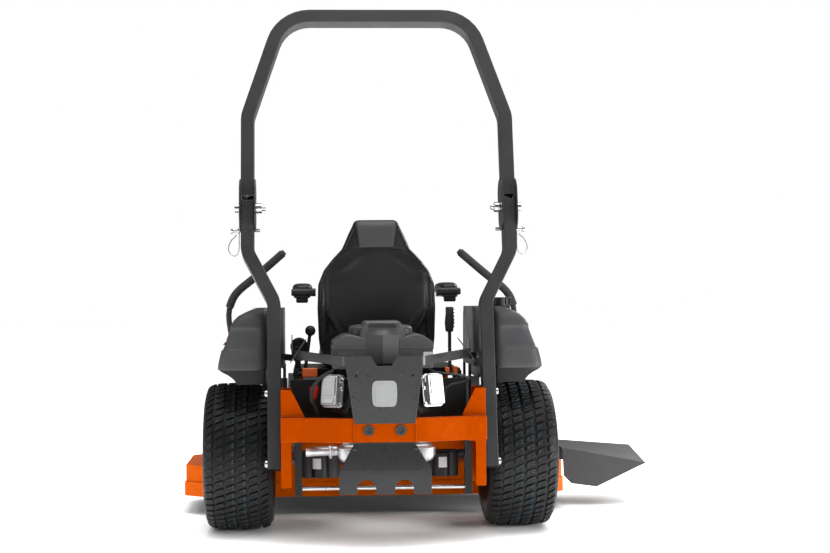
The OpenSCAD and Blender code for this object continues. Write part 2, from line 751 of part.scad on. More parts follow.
module battery() color(black) {
    block([-95, 320, rail_z + 66], [95, 480, rail_z + 220]);
    for (x = [-65, 65]) translate([x, 350, rail_z + 220]) cylinder(r = 8, h = 14);
    block([-180, 300, rail_z + 58], [180, 600, rail_z + 66]);
}

hose_path = [[176, -350, 639.7], [176, -350, 634], [196, -360, 624], [240, -372, 620], [290, -370, 614],
    [320, -352, 602], [322, -330, 592], [300, -318, 584], [262, -316, 578], [238, -318, 564],
    [234, -316, 540], [236, -312, 500], [240, -310, 440], [240, -310, 400], [240, -310, 391.3]];
wire_path_left = [[-184, -340, 639.7], [-184, -340, 632], [-202, -342, 624], [-230, -346, 606], [-252, -350, 580],
    [-264, -352, 552], [-264, -352, 526], [-250, -348, 500], [-240, -340, 470],
    [-250, -325, 430], [-255, -316, 402], [-255, -316, 391.3]];

module wiring_and_hoses() color(black) {
    sweep(hose_path, 4, [1, 1, 1], 8);
    sweep(wire_path_left, 7, [0, 1, 0], 8);
}

// ---- deck ----

deck_outline = [[-deck_half, deck_back + 90], [-deck_half + 120, deck_back],
    [deck_half - 60, deck_back], [deck_half, deck_back + 60], [deck_half, side_blade_y + 220],
    [deck_half - 120, deck_front - 100], [330, deck_front - 60], [230, deck_front],
    [-230, deck_front], [-330, deck_front - 60], [-deck_half + 140, deck_front - 100],
    [-deck_half, deck_front - 230]];

module deck_shell() color(orange) difference() {
    union() {
        translate([0, 0, deck_low]) linear_extrude(deck_top - deck_low) polygon(deck_outline);
        translate([0, 0, deck_low]) linear_extrude(deck_rim)
            polygon([for (p = deck_outline) [p[0] * 1.007, p[1] + (p[1] > 600 ? 6 : -6)]]);
        // Hinge bracket for the chute
        for (y = [chute_y - 130, chute_y + 122]) difference() {
            union() {
                block([deck_half - 30, y, deck_top - 20], [chute_x + 7, y + 8, chute_z]);
                translate([chute_x, y, chute_z]) rotate([-90, 0, 0]) cylinder(r = 7, h = 8);
            }
            translate([chute_x, 0, chute_z]) rotate([-90, 0, 0]) cylinder(r = 5 + run, h = 900);
        }
        both() for (y = [deck_back + 60, 860]) block([frame_half + slip + 0.2, y, deck_top],
            [frame_half + 6, y + 30, rail_z + 40]);
        // Arms and axle of the anti-scalp wheels
        both() {
            for (x = [scalp_x - 30, scalp_x + 24 + slip])
                block([x, deck_front - 70, scalp_z - 14], [x + 6 - slip, scalp_y + 14, scalp_z + 30]);
            translate([0, scalp_y, scalp_z]) rod_x(8, scalp_x - 34, scalp_x + 34);
        }
    }
    difference() {
        translate([0, 0, deck_low - 1]) linear_extrude(deck_top - deck_low - deck_wall + 1)
            polygon([for (p = deck_outline) [p[0] * (1 - deck_wall / deck_half),
                p[1] + (p[1] > 600 ? -deck_wall : deck_wall)]]);
    }
    // Discharge mouth and the three holes for the spindles
    block([deck_half - 40, chute_y - 150, deck_low - 1], [deck_half + 40, chute_y + 150, deck_top - 14]);
    for (p = spindles) translate([p[0], p[1], deck_top - 20]) cylinder(r = 40, h = 40);
}

scalp_x = 275;
scalp_y = deck_front + 61;
scalp_z = 90;
spindles = [[-blade_step, side_blade_y], [0, mid_blade_y], [blade_step, side_blade_y]];

module spindle_housings() color(silver) for (p = spindles) translate([p[0], p[1], deck_top])
    difference() {
        union() {
            cylinder(r = 62, h = 8);
            translate([0, 0, -40]) cylinder(r = 38, h = 66);
        }
        translate([0, 0, -41]) cylinder(r = shaft_r + run, h = 80);
    }

// Shaft with its blade below and pulley above the deck
module blade(k) color(silver) translate([spindles[k][0], spindles[k][1], 0]) {
    translate([0, 0, deck_low + 22]) cylinder(r = shaft_r, h = deck_top + 52 - deck_low - 22);
    difference() {
        translate([0, 0, deck_low + 30]) linear_extrude(6) polygon([[-blade_l / 2, -32],
            [blade_l / 2 - 90, -32], [blade_l / 2, -24], [blade_l / 2, 32],
            [-blade_l / 2 + 90, 32], [-blade_l / 2, 24]]);
        translate([0, 0, deck_low]) cylinder(r = shaft_r, h = 60);
    }
    difference() {
        translate([0, 0, deck_top + 28]) rotate_extrude()
            polygon([[shaft_r, 0], [72, 0], [60, 10], [72, 20], [shaft_r, 20]]);
        translate([0, 0, deck_top]) cylinder(r = shaft_r, h = 80);
    }
}

belt_in = 65.4;
module deck_belt() color(black) translate([0, 0, deck_top + 34]) linear_extrude(8) difference() {
    polygon(belt_outline(belt_in + 8));
    polygon(belt_outline(belt_in));
}

// Belt loop round the three pulleys, r from their middles
function belt_outline(r, n = 16) = let (t = atan2(blade_step, mid_blade_y - side_blade_y)) concat(
    arc(spindles[2], r, -90, t, n), arc(spindles[1], r, t, 180 - t, 4),
    arc(spindles[0], r, 180 - t, 270, n));
// Points of an arc about c from angle a to b, in n steps
function arc(c, r, a, b, n) = [for (k = [0:n]) c + r * [cos(a + (b - a) * k / n), sin(a + (b - a) * k / n)]];

module belt_covers() color(black) both() difference() {
    block([frame_half + 14, side_blade_y - 130, deck_top], [blade_step + 130, side_blade_y + 120, deck_top + 78]);
    block([frame_half, side_blade_y - 126, deck_top - 1],
        [blade_step + 126, side_blade_y + 116, deck_top + 74]);
}

// Chute that hinges on the deck's right side: a sloping top with a skirt at each end
module discharge_chute() color(dark) {
    x = chute_x;
    z = chute_z;
    translate([x, chute_y - 121, z]) rotate([-90, 0, 0]) cylinder(r = 11, h = 242);
    translate([x, chute_y - 140, z]) rotate([-90, 0, 0]) cylinder(r = 5, h = 282);
    hull() {
        block([x + 8, chute_y - chute_half, z - 5], [x + 12, chute_y + chute_half, z + 3]);
        block([x + 367, chute_y - chute_half, 176], [x + 372, chute_y - chute_half + 5, 181]);
        block([x + 385, chute_y + chute_half - 5, 213], [x + 390, chute_y + chute_half, 218]);
    }
    upright_sheet([[x + 12, z - 2], [x + 370, 178], [x + 159, 80], [x + 50, 95], [x + 16, 130]], 5,
        chute_y - chute_half);
    upright_sheet([[x + 12, z - 2], [x + 388, 215], [x + 240, 160], [x + 20, 150]], 5,
        chute_y + chute_half - 5);
}

module anti_scalp(side) color(black) on_side(side) translate([scalp_x, scalp_y, scalp_z])
    difference() {
        rod_x(62, -24, 24);
        rod_x(8 + run, -30, 30);
    }

// ---- seat ----

module seat_base() color(black) {
    block([-seat_half, seat_y + 30, pan_z], [seat_half, 640, cushion_z - slip]);
    both() {
        block([260, seat_hinge_y - 10, seat_hinge_z - 10], [300 - slip, seat_hinge_y + 10, pan_z]);
        translate([0, seat_hinge_y, seat_hinge_z]) rod_x(8, 270, 344);
        // Brackets that hold the back
        block([120, seat_y - 80, pan_z], [160, seat_y + 40, cushion_z - slip]);
    }
    // Belt retractor on the left
    translate([0, seat_y + 60, cushion_z + 70]) rod_x(40, -336, -300);
    block([-330, seat_y + 40, cushion_z - 2], [-306, seat_y + 80, cushion_z + 50]);
}

module seat_cushion() color(black) {
    translate([0, seat_y + 240 + slip, cushion_z]) linear_extrude(cushion_h)
        polygon(round_rect(seat_w, 480, 70));
}

// Right half of the seat back's outline, from its foot up
back_half = [[seat_w / 2 - 45, cushion_z], [seat_w / 2 - 5, 740], [seat_w / 2, 860],
    [seat_w / 2 - 4, 958], [seat_w / 2 - 28, 1014], [seat_w / 2 - 64, 1060],
    [seat_w / 2 - 102, 1100], [seat_w / 2 - 126, 1160], [88, back_top - 8], [80, back_top]];

module seat_back() color(black) {
    upright_sheet(concat(back_half, [for (k = [len(back_half) - 1:-1:0])
        [-back_half[k][0], back_half[k][1]]]), 100, seat_y - 100);
}

module armrest(side) color(black) on_side(side) {
    block([274, 130, 900], [342, 420, 965]);
    translate([0, 110, 925]) rod_x(16, seat_w / 2 - 1.7, 342);
    block([280, 108, 910], [336, 132, 940]);
}

// ---- controls ----

module lever_pivot(side) color(dark) on_side(side) translate([0, lever_y, 0]) {
    translate([0, 0, lever_z - 20]) rod_x(8, 570 + slip, 586);
    block([582, -26, lever_z - 46], [618, 26, lever_z - 18]);
    translate([lever_x, 26, lever_z]) rotate([90, 0, 0]) cylinder(r = 7, h = 52);
    for (y = [-26, 20]) block([lever_x - 7, y, lever_z - 20], [lever_x + 7, y + 6, lever_z + 7]);
}

lever_bar = rounded([[lever_x, lever_y, lever_z + 10], [lever_x + 19, lever_y, 845],
    [lever_x - 12, lever_y, 926], [492, lever_y, 1000], [374, lever_y, 1102]], [160, 60, 200], 3);

module lever(side) color(black) on_side(side) {
    sweep(lever_bar, 12, [0, 1, 0], 10);
    difference() {
        translate([lever_x, lever_y + 18, lever_z]) rotate([90, 0, 0]) cylinder(r = 16, h = 36);
        translate([lever_x, lever_y + 20, lever_z]) rotate([90, 0, 0]) cylinder(r = 7 + run, h = 40);
    }
}

module brake_lever() color(black) translate([0, brake_y, brake_z]) {
    rod_x(10, 280, frame_half - 40);
    block([284, -12, 0], [296, 12, 170]);
    block([276, -17, 165], [304, 17, 262]);
}

// Deck height lever with its ball knob, on the left
module height_lever() color(black) translate([0, brake_y, brake_z]) {
    rod_x(10, -frame_half + 40, -280);
    difference() {
        translate([-290, 0, 0]) rotate([0, 8, 0]) cylinder(r = 7, h = 168);
        block([-400, -20, -60], [-200, 20, 0]);
    }
    translate([-266, 0, 172]) sphere(r = 21);
}

module fuel_cap() color(black) translate([490, 60, fender_top + slip]) {
    cylinder(r = 46, h = 34);
    for (k = [0:11]) rotate([0, 0, 30 * k]) translate([45, -4, 4]) cube([6, 8, 28]);
}

module throttle_lever() color(orange) translate([530, 600, top_z + 10]) {
    rod_x(4, -12, 12);
    block([-4, -4, -4], [4, 4, 52]);
    block([-9, -7, 46], [9, 7, 66]);
}

module ignition_key() color(silver) translate([480, 590, top_z + slip]) {
    cylinder(r = 9, h = 8);
    block([-12, -1.5, 6], [12, 1.5, 34]);
}

module blade_switch() color([0.95, 0.75, 0.1]) translate([480, 530, top_z + slip]) {
    cylinder(r = 7, h = 22);
    translate([0, 0, 22]) cylinder(r = 18, h = 14);
}

module lift_pedal() color(dark) {
    translate([0, pedal_y, platform_z + 30]) rod_x(9, 300, 364);
    block([326, pedal_y - 4, platform_z + 30], [338, pedal_y + 4, platform_z + 110]);
    block([300, pedal_y - 20, platform_z + 108], [364, pedal_y + 60, platform_z + 118]);
}

frame_rails();
front_beam();
rear_bumper();
bumper_plugs();
roll_bar_posts();
post_bolts();
upper_guard();
lower_guard();
muffler();
engine_block();
valve_covers();
engine_cover();
hydro_drives();
rear_straps();
foot_platform();
fender(-1);  // fender_left
fender(1);  // fender_right
fender_liners();
control_consoles();
battery();
wiring_and_hoses();
roll_bar_hoop();
lock_pin(-1);  // lock_pin_left
lock_pin(1);  // lock_pin_right
pin_lanyards();
rear_tyre(-1);  // rear_tyre_left
rear_tyre(1);  // rear_tyre_right
rear_rim(-1);  // rear_rim_left
rear_rim(1);  // rear_rim_right
caster_fork(-1);  // caster_fork_left
caster_fork(1);  // caster_fork_right
caster_wheel(-1);  // caster_wheel_left
caster_wheel(1);  // caster_wheel_right
deck_shell();
spindle_housings();
belt_covers();
deck_belt();
discharge_chute();
blade(0);  // blade_left
blade(1);  // blade_middle
blade(2);  // blade_right
anti_scalp(-1);  // anti_scalp_left
anti_scalp(1);  // anti_scalp_right
seat_base();
seat_cushion();
seat_back();
armrest(-1);  // armrest_left
armrest(1);  // armrest_right
lever_pivot(-1);  // lever_pivot_left
lever_pivot(1);  // lever_pivot_right
lever(-1);  // lever_left
lever(1);  // lever_right
brake_lever();
height_lever();
crank_pulley();
fuel_cap();
throttle_lever();
ignition_key();
blade_switch();
lift_pedal();
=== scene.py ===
"""Looks of a zero turn mower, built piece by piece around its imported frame."""

import json
import logging
import math
from collections.abc import Callable, Sequence
from dataclasses import dataclass
from enum import Enum

import bmesh
import bpy
import numpy as np
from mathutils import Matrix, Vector


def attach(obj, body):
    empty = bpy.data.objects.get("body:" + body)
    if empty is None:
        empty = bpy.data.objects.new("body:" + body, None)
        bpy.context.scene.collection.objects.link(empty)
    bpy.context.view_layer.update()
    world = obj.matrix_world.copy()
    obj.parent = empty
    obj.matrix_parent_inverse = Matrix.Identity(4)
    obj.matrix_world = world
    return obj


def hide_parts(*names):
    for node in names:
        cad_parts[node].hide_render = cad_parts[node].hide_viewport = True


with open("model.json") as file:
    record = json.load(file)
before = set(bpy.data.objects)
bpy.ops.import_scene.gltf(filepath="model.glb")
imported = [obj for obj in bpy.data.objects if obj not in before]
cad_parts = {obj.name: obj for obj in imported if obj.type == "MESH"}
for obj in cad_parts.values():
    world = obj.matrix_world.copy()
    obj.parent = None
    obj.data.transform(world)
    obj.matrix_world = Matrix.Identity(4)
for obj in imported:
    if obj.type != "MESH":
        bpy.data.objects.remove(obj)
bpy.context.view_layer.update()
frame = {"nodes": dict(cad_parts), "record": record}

log = logging.getLogger("mower")

Array = np.ndarray
Rows = Array | Sequence[Sequence[float]]
Chooser = Callable[[Array, Array], Array]

FRAME_WIDTH = 830
WELD = 2e-6
SIDES = (-1.0, 1.0)
SIDE_NAME = {-1.0: "left", 1.0: "right"}
BODY_OF = {
    node: body
    for body, nodes in frame["record"]["behaviour"]["bodies"].items()
    for node in nodes
}
SLOT_OF = {part["node"]: part["material_slot"] for part in frame["record"]["subparts"]}


class Grain(Enum):
    """The small surface texture that a finish has."""

    PAINT = "paint"
    CAST = "cast"
    MOULDED = "moulded"
    VINYL = "vinyl"
    RUBBER = "rubber"
    BRUSHED = "brushed"
    FOAM = "foam"


# Scale of the grain in features per metre, and its depth in metres
GRAINS: dict[Grain, tuple[float, float]] = {
    Grain.PAINT: (900.0, 0.00004),
    Grain.CAST: (420.0, 0.0005),
    Grain.MOULDED: (1400.0, 0.00018),
    Grain.VINYL: (520.0, 0.00045),
    Grain.RUBBER: (700.0, 0.0002),
    Grain.BRUSHED: (600.0, 0.00008),
    Grain.FOAM: (900.0, 0.0007),
}


# --- Shader groups -----------------------------------------------------------


def socket_group(name: str, inputs: dict[str, float], outputs: dict[str, str]) -> bpy.types.NodeTree:
    """Makes an empty shader group with its named sockets.

    Args:
        name: The group's name.
        inputs: Each input's name and default value.
        outputs: Each output's name and socket type.

    Returns:
        The group, with a Group Input and a Group Output node in it.
    """
    group = bpy.data.node_groups.new(name, "ShaderNodeTree")
    for label, value in inputs.items():
        made = group.interface.new_socket(label, in_out="INPUT", socket_type="NodeSocketFloat")
        made.default_value = value
    for label, kind in outputs.items():
        group.interface.new_socket(label, in_out="OUTPUT", socket_type=kind)
    group.nodes.new("NodeGroupInput")
    group.nodes.new("NodeGroupOutput")
    return group


def put(tree: bpy.types.NodeTree, kind: str, settings: dict | None = None, **links: object) -> bpy.types.Node:
    """Adds one node, sets its properties and fills its inputs.

    Args:
        tree: The tree that takes the node.
        kind: The node's type without its ShaderNode prefix.
        settings: Properties of the node, by name.
        **links: Inputs by name, with _ for a space, or iN for input N. Each is an output socket or a value.

    Returns:
        The new node.
    """
    node = tree.nodes.new("ShaderNode" + kind)
    for key, value in (settings or {}).items():
        setattr(node, key, value)
    for key, value in links.items():
        numbered = key[0] == "i" and key[1:].isdigit()
        entry = node.inputs[int(key[1:]) if numbered else key.replace("_", " ")]
        if isinstance(value, bpy.types.NodeSocket):
            tree.links.new(value, entry)
        else:
            entry.default_value = value
    return node


class Shaders:
    """The shader groups that the finishes share, built once."""

    def __init__(self) -> None:
        """Builds the groups."""
        self.grain = self._grain()
        self.mottle = self._mottle()
        self.dust = self._dust()
        self.wear = self._wear()

    @staticmethod
    def _ends(group: bpy.types.NodeTree) -> tuple[bpy.types.Node, bpy.types.Node]:
        """Gives a group's input and output nodes."""
        return group.nodes["Group Input"], group.nodes["Group Output"]

    def _grain(self) -> bpy.types.NodeTree:
        """Height of cells mixed with fine noise: Height = (cells * Cells + noise * (1 - Cells)) * Depth."""
        group = socket_group(
            "grain",
            {"Scale": 800.0, "Cells": 0.5, "Depth": 0.0002},
            {"Height": "NodeSocketFloat"},
        )
        start, end = self._ends(group)
        place = put(group, "TexCoord").outputs["Object"]
        cells = put(group, "TexVoronoi", {"feature": "SMOOTH_F1"}, Vector=place, Scale=start.outputs["Scale"])
        noise = put(group, "TexNoise", None, Vector=place, Scale=start.outputs["Scale"], Detail=3.0)
        both = put(
            group, "Mix", {"data_type": "FLOAT"},
            i0=start.outputs["Cells"], i2=noise.outputs["Fac"], i3=cells.outputs["Distance"],
        )
        height = put(group, "Math", {"operation": "MULTIPLY"}, i0=both.outputs[0], i1=start.outputs["Depth"])
        group.links.new(height.outputs[0], end.inputs["Height"])
        return group

    def _mottle(self) -> bpy.types.NodeTree:
        """Broad cloudy variation between Low and High, from two octaves of noise a size apart."""
        group = socket_group(
            "mottle",
            {"Scale": 9.0, "Low": 0.0, "High": 1.0},
            {"Value": "NodeSocketFloat"},
        )
        start, end = self._ends(group)
        place = put(group, "TexCoord").outputs["Object"]
        noise = put(group, "TexNoise", None, Vector=place, Scale=start.outputs["Scale"], Detail=5.0, Roughness=0.6)
        span = put(
            group, "MapRange", None,
            Value=noise.outputs["Fac"], i1=0.3, i2=0.7, i3=start.outputs["Low"], i4=start.outputs["High"],
        )
        group.links.new(span.outputs[0], end.inputs["Value"])
        return group

    def _dust(self) -> bpy.types.NodeTree:
        """Mask of settled dust: how far the face looks up, broken by noise, times Amount."""
        group = socket_group("dust", {"Amount": 0.2, "Scale": 30.0}, {"Mask": "NodeSocketFloat"})
        start, end = self._ends(group)
        coords = put(group, "TexCoord")
        up = put(group, "SeparateXYZ", None, Vector=coords.outputs["Normal"])
        rise = put(group, "MapRange", None, Value=up.outputs["Z"], i1=0.35, i2=1.0, i3=0.0, i4=1.0)
        noise = put(
            group, "TexNoise", None, Vector=coords.outputs["Object"], Scale=start.outputs["Scale"], Detail=6.0
        )
        broken = put(group, "MapRange", None, Value=noise.outputs["Fac"], i1=0.42, i2=0.7, i3=0.25, i4=1.0)
        laid = put(group, "Math", {"operation": "MULTIPLY"}, i0=rise.outputs[0], i1=broken.outputs[0])
        mask = put(group, "Math", {"operation": "MULTIPLY"}, i0=laid.outputs[0], i1=start.outputs["Amount"])
        group.links.new(mask.outputs[0], end.inputs["Mask"])
        return group

    def _wear(self) -> bpy.types.NodeTree:
        """Mask of rubbed edges: mesh pointiness above its flat value of a half, broken by noise."""
        group = socket_group("edge_wear", {"Amount": 0.5, "Scale": 60.0}, {"Mask": "NodeSocketFloat"})
        start, end = self._ends(group)
        point = put(group, "NewGeometry").outputs["Pointiness"]
        edge = put(group, "MapRange", None, Value=point, i1=0.505, i2=0.56, i3=0.0, i4=1.0)
        place = put(group, "TexCoord").outputs["Object"]
        noise = put(group, "TexNoise", None, Vector=place, Scale=start.outputs["Scale"], Detail=4.0)
        rubbed = put(group, "Math", {"operation": "MULTIPLY"}, i0=edge.outputs[0], i1=noise.outputs["Fac"])
        mask = put(
            group, "Math", {"operation": "MULTIPLY", "use_clamp": True},
            i0=rubbed.outputs[0], i1=start.outputs["Amount"],
        )
        group.links.new(mask.outputs[0], end.inputs["Mask"])
        return group


SHADERS = Shaders()


@dataclass(frozen=True)
class Finish:
    """One finish: base colour, gloss and the texture of the surface."""

    name: str
    colour: tuple[float, float, float]
    rough: float
    grain: Grain
    metal: float = 0.0
    coat: float = 0.0
    cells: float = 0.5
    shade: float = 0.12
    dust: float = 0.06
    wear: float = 0.15
    rough_swing: float = 0.08
    deeper: float = 1.0
    specular: float = 0.3
    tint: tuple[float, float, float] = (1.0, 1.0, 1.0)

    def _tone(self, gain: float) -> tuple[float, float, float, float]:
        """The base colour times a gain, as a node colour."""
        return tuple(min(1.0, c * gain) for c in self.colour) + (1.0,)

    def _group(self, tree: bpy.types.NodeTree, group: bpy.types.NodeTree, **values: float) -> bpy.types.Node:
        """Places a shared group in a material with its own values.

        Args:
            tree: The material's tree.
            group: The shared group.
            **values: The group's inputs, by name.

        Returns:
            The group's node.
        """
        node = tree.nodes.new("ShaderNodeGroup")
        node.node_tree = group
        for key, value in values.items():
            node.inputs[key].default_value = value
        return node

    def pattern(self, tree: bpy.types.NodeTree, colour: bpy.types.NodeSocket) -> bpy.types.NodeSocket:
        """Lets a finish draw something over its colour. The plain finish draws nothing."""
        return colour

    def build(self) -> bpy.types.Material:
        """Makes the material, or gives the one already made.

        Returns:
            The material, on a Principled shader with varying colour, roughness and bump.
        """
        if self.name in bpy.data.materials:
            return bpy.data.materials[self.name]
        made = bpy.data.materials.new(self.name)
        made.use_nodes = True
        tree = made.node_tree
        shader = tree.nodes["Principled BSDF"]
        shader.inputs["Metallic"].default_value = self.metal
        shader.inputs["Coat Weight"].default_value = self.coat
        shader.inputs["Coat Roughness"].default_value = 0.12
        shader.inputs["Specular IOR Level"].default_value = self.specular
        shader.inputs["Specular Tint"].default_value = (*self.tint, 1.0)
        mottle = self._group(tree, SHADERS.mottle)
        dust = self._group(tree, SHADERS.dust, Amount=self.dust)
        wear = self._group(tree, SHADERS.wear, Amount=self.wear)
        toned = put(
            tree, "Mix", {"data_type": "RGBA"},
            i0=mottle.outputs[0], i6=self._tone(1 - self.shade), i7=self._tone(1 + self.shade),
        )
        drawn = self.pattern(tree, toned.outputs[2])
        worn = put(tree, "Mix", {"data_type": "RGBA"}, i0=wear.outputs[0], i6=drawn, i7=self._tone(1.9))
        dusted = put(
            tree, "Mix", {"data_type": "RGBA"},
            i0=dust.outputs[0], i6=worn.outputs[2], i7=(0.32, 0.31, 0.29, 1.0),
        )
        tree.links.new(dusted.outputs[2], shader.inputs["Base Color"])
        low = max(0.05, self.rough - self.rough_swing)
        swing = put(
            tree, "MapRange", None,
            Value=mottle.outputs[0], i1=0.0, i2=1.0, i3=low, i4=self.rough + self.rough_swing,
        )
        matt = put(tree, "Math", {"operation": "ADD", "use_clamp": True}, i0=swing.outputs[0], i1=dust.outputs[0])
        tree.links.new(matt.outputs[0], shader.inputs["Roughness"])
        scale, depth = GRAINS[self.grain]
        grain = self._group(tree, SHADERS.grain, Scale=scale, Cells=self.cells, Depth=depth * self.deeper)
        bump = put(tree, "Bump", None, Height=grain.outputs["Height"], Distance=1.0, Strength=1.0)
        tree.links.new(bump.outputs[0], shader.inputs["Normal"])
        return made


@dataclass(frozen=True)
class TyreFinish(Finish):
    """Tyre rubber with the faint dotted lines that a new tread carries."""

    line: tuple[float, float, float] = (0.02, 0.08, 0.12)

    def pattern(self, tree: bpy.types.NodeTree, colour: bpy.types.NodeSocket) -> bpy.types.NodeSocket:
        """Mixes two dotted lines round the tread into the rubber, by the piece's own map.

        Args:
            tree: The material's tree.
            colour: The rubber's colour.

        Returns:
            The colour with the lines on it.
        """
        place = put(tree, "SeparateXYZ", None, Vector=put(tree, "UVMap", {"uv_map": "tread"}).outputs[0])
        masks = []
        for middle in (0.44, 0.6):
            off = put(tree, "Math", {"operation": "SUBTRACT"}, i0=place.outputs["X"], i1=middle)
            wide = put(tree, "Math", {"operation": "ABSOLUTE"}, i0=off.outputs[0])
            masks.append(put(tree, "MapRange", None, Value=wide.outputs[0], i1=0.02, i2=0.008, i3=0.0, i4=1.0))
        line = put(tree, "Math", {"operation": "MAXIMUM"}, i0=masks[0].outputs[0], i1=masks[1].outputs[0])
        wave = put(tree, "Math", {"operation": "MULTIPLY"}, i0=place.outputs["Y"], i1=1100.0)
        dots = put(tree, "Math", {"operation": "SINE"}, i0=wave.outputs[0])
        seen = put(tree, "Math", {"operation": "MULTIPLY", "use_clamp": True}, i0=line.outputs[0], i1=dots.outputs[0])
        mixed = put(tree, "Mix", {"data_type": "RGBA"}, i0=seen.outputs[0], i6=colour, i7=(*self.line, 1.0))
        return mixed.outputs[2]


ORANGE = Finish(
    "orange_enamel", (0.82, 0.12, 0.0), 0.32, Grain.PAINT, shade=0.05, dust=0.0, wear=0.1, specular=0.25,
    tint=(1.0, 0.3, 0.0),
)
# The deck's orange enamel, darkened as painted shade, for the frame, bumper and welds
SHADED_ORANGE = Finish(
    "frame_orange_enamel", (0.35, 0.036, 0.0), 0.24, Grain.PAINT, shade=0.05, dust=0.0, wear=0.1, specular=0.6,
    tint=(1.0, 0.3, 0.0),
)
GUARD = Finish(
    "guard_powder_coat", (0.0135, 0.014, 0.0145), 0.28, Grain.PAINT, shade=0.02, dust=0.0, wear=0.0, rough_swing=0.02,
    specular=0.7,
)
GREY = Finish(
    "grey_powder_coat", (0.033, 0.0335, 0.035), 0.42, Grain.PAINT, wear=0.05, shade=0.06, deeper=2.0, dust=0.02
)
PLASTIC = Finish("grey_moulded_plastic", (0.06, 0.061, 0.063), 0.44, Grain.MOULDED, shade=0.06, dust=0.04)
CHUTE = Finish("chute_rubber_plastic", (0.045, 0.046, 0.047), 0.5, Grain.MOULDED, shade=0.08, dust=0.05)
BLACK = Finish("black_moulded_plastic", (0.017, 0.017, 0.018), 0.42, Grain.MOULDED, dust=0.05)
BLACK_PAINT = Finish("black_satin_paint", (0.012, 0.012, 0.013), 0.36, Grain.PAINT, dust=0.05)
RUBBER = Finish("black_rubber", (0.014, 0.014, 0.015), 0.62, Grain.RUBBER, dust=0.05)
TYRE = TyreFinish("tyre_rubber", (0.0088, 0.0088, 0.0093), 0.5, Grain.RUBBER, dust=0.05, shade=0.2, wear=0.3)
VINYL = Finish("black_grained_vinyl", (0.016, 0.016, 0.017), 0.4, Grain.VINYL, cells=0.8, dust=0.02, wear=0.1)
VINYL_GREY = Finish("grey_grained_vinyl", (0.062, 0.062, 0.065), 0.45, Grain.VINYL, cells=0.8, dust=0.02)
FOAM = Finish("grip_foam", (0.014, 0.014, 0.015), 0.8, Grain.FOAM, dust=0.04)
ALLOY = Finish("cast_alloy", (0.2, 0.203, 0.208), 0.6, Grain.CAST, deeper=2.5, metal=0.3, dust=0.1, wear=0.4)
DARK_ALLOY = Finish("dull_cast_iron", (0.05, 0.05, 0.052), 0.5, Grain.CAST, metal=0.4, dust=0.15)
STEEL = Finish("zinc_plate", (0.55, 0.56, 0.57), 0.25, Grain.BRUSHED, metal=1.0, dust=0.02, shade=0.08)
ALUMINISED = Finish("aluminised_steel", (0.5, 0.5, 0.51), 0.36, Grain.BRUSHED, metal=0.9, shade=0.25, deeper=3.0)
BLADE = Finish("ground_steel", (0.3, 0.3, 0.31), 0.35, Grain.BRUSHED, metal=1.0, shade=0.2)
RIM = Finish("rim_black", (0.02, 0.02, 0.021), 0.35, Grain.PAINT)
ORANGE_PLASTIC = Finish("orange_moulding", (0.8, 0.12, 0.01), 0.35, Grain.MOULDED, dust=0.02)
YELLOW = Finish("yellow_moulding", (0.8, 0.42, 0.02), 0.4, Grain.MOULDED)
BADGE = Finish("badge_grey", (0.3, 0.305, 0.31), 0.4, Grain.PAINT, shade=0.04)
LABEL = Finish("pale_label", (0.62, 0.63, 0.64), 0.45, Grain.PAINT, shade=0.03)
LENS = Finish("reflector_lens", (0.75, 0.07, 0.01), 0.15, Grain.MOULDED, coat=1.0, deeper=4.0)
WIRE = Finish("plated_wire", (0.42, 0.42, 0.43), 0.35, Grain.BRUSHED, metal=0.4, dust=0.0)
WIRE_RED = Finish("red_wire", (0.5, 0.01, 0.01), 0.4, Grain.RUBBER)
FLOOR = Finish("studio_floor", (0.82, 0.82, 0.82), 0.9, Grain.PAINT, shade=0.01, dust=0.0, wear=0.0, deeper=0.1)

SLOT_FINISH: dict[str, Finish] = {
    "orange_paint": ORANGE,
    "grey_paint": GREY,
    "grey_plastic": PLASTIC,
    "black_plastic": BLACK,
    "black_rubber": RUBBER,
    "tyre": TYRE,
    "rim_paint": RIM,
    "vinyl": VINYL,
    "seat_frame": BLACK_PAINT,
    "grip_foam": FOAM,
    "cast_alloy": ALLOY,
    "bright_steel": STEEL,
    "orange_plastic": ORANGE_PLASTIC,
    "yellow_plastic": YELLOW,
}


# --- Meshes from whole arrays ------------------------------------------------


def millimetres(values: object) -> Array:
    """Turns numbers in millimetres into an array in metres."""
    return np.asarray(values, float) / 1000.0


def mirrored(points: Array, side: float) -> Array:
    """Points made for the right side, put on the side that is named: x' = side * x."""
    return points * np.array([side, 1.0, 1.0])


def unit(vectors: Array) -> Array:
    """Vectors divided by their own lengths."""
    return vectors / np.maximum(np.linalg.norm(vectors, axis=-1, keepdims=True), 1e-12)


def resample(points: Array, count: int, closed: bool = False) -> Array:
    """Spreads points evenly along a line: each lies where its share of the length falls.

    Args:
        points: Corners of the line, one row each.
        count: How many points come out.
        closed: Whether the line returns to its start.

    Returns:
        The evenly spread points.
    """
    line = np.vstack([points, points[:1]]) if closed else points
    reach = np.concatenate([[0.0], np.cumsum(np.linalg.norm(np.diff(line, axis=0), axis=1))])
    at = np.linspace(0.0, reach[-1], count, endpoint=not closed)
    return np.stack([np.interp(at, reach, line[:, k]) for k in range(line.shape[1])], axis=1)


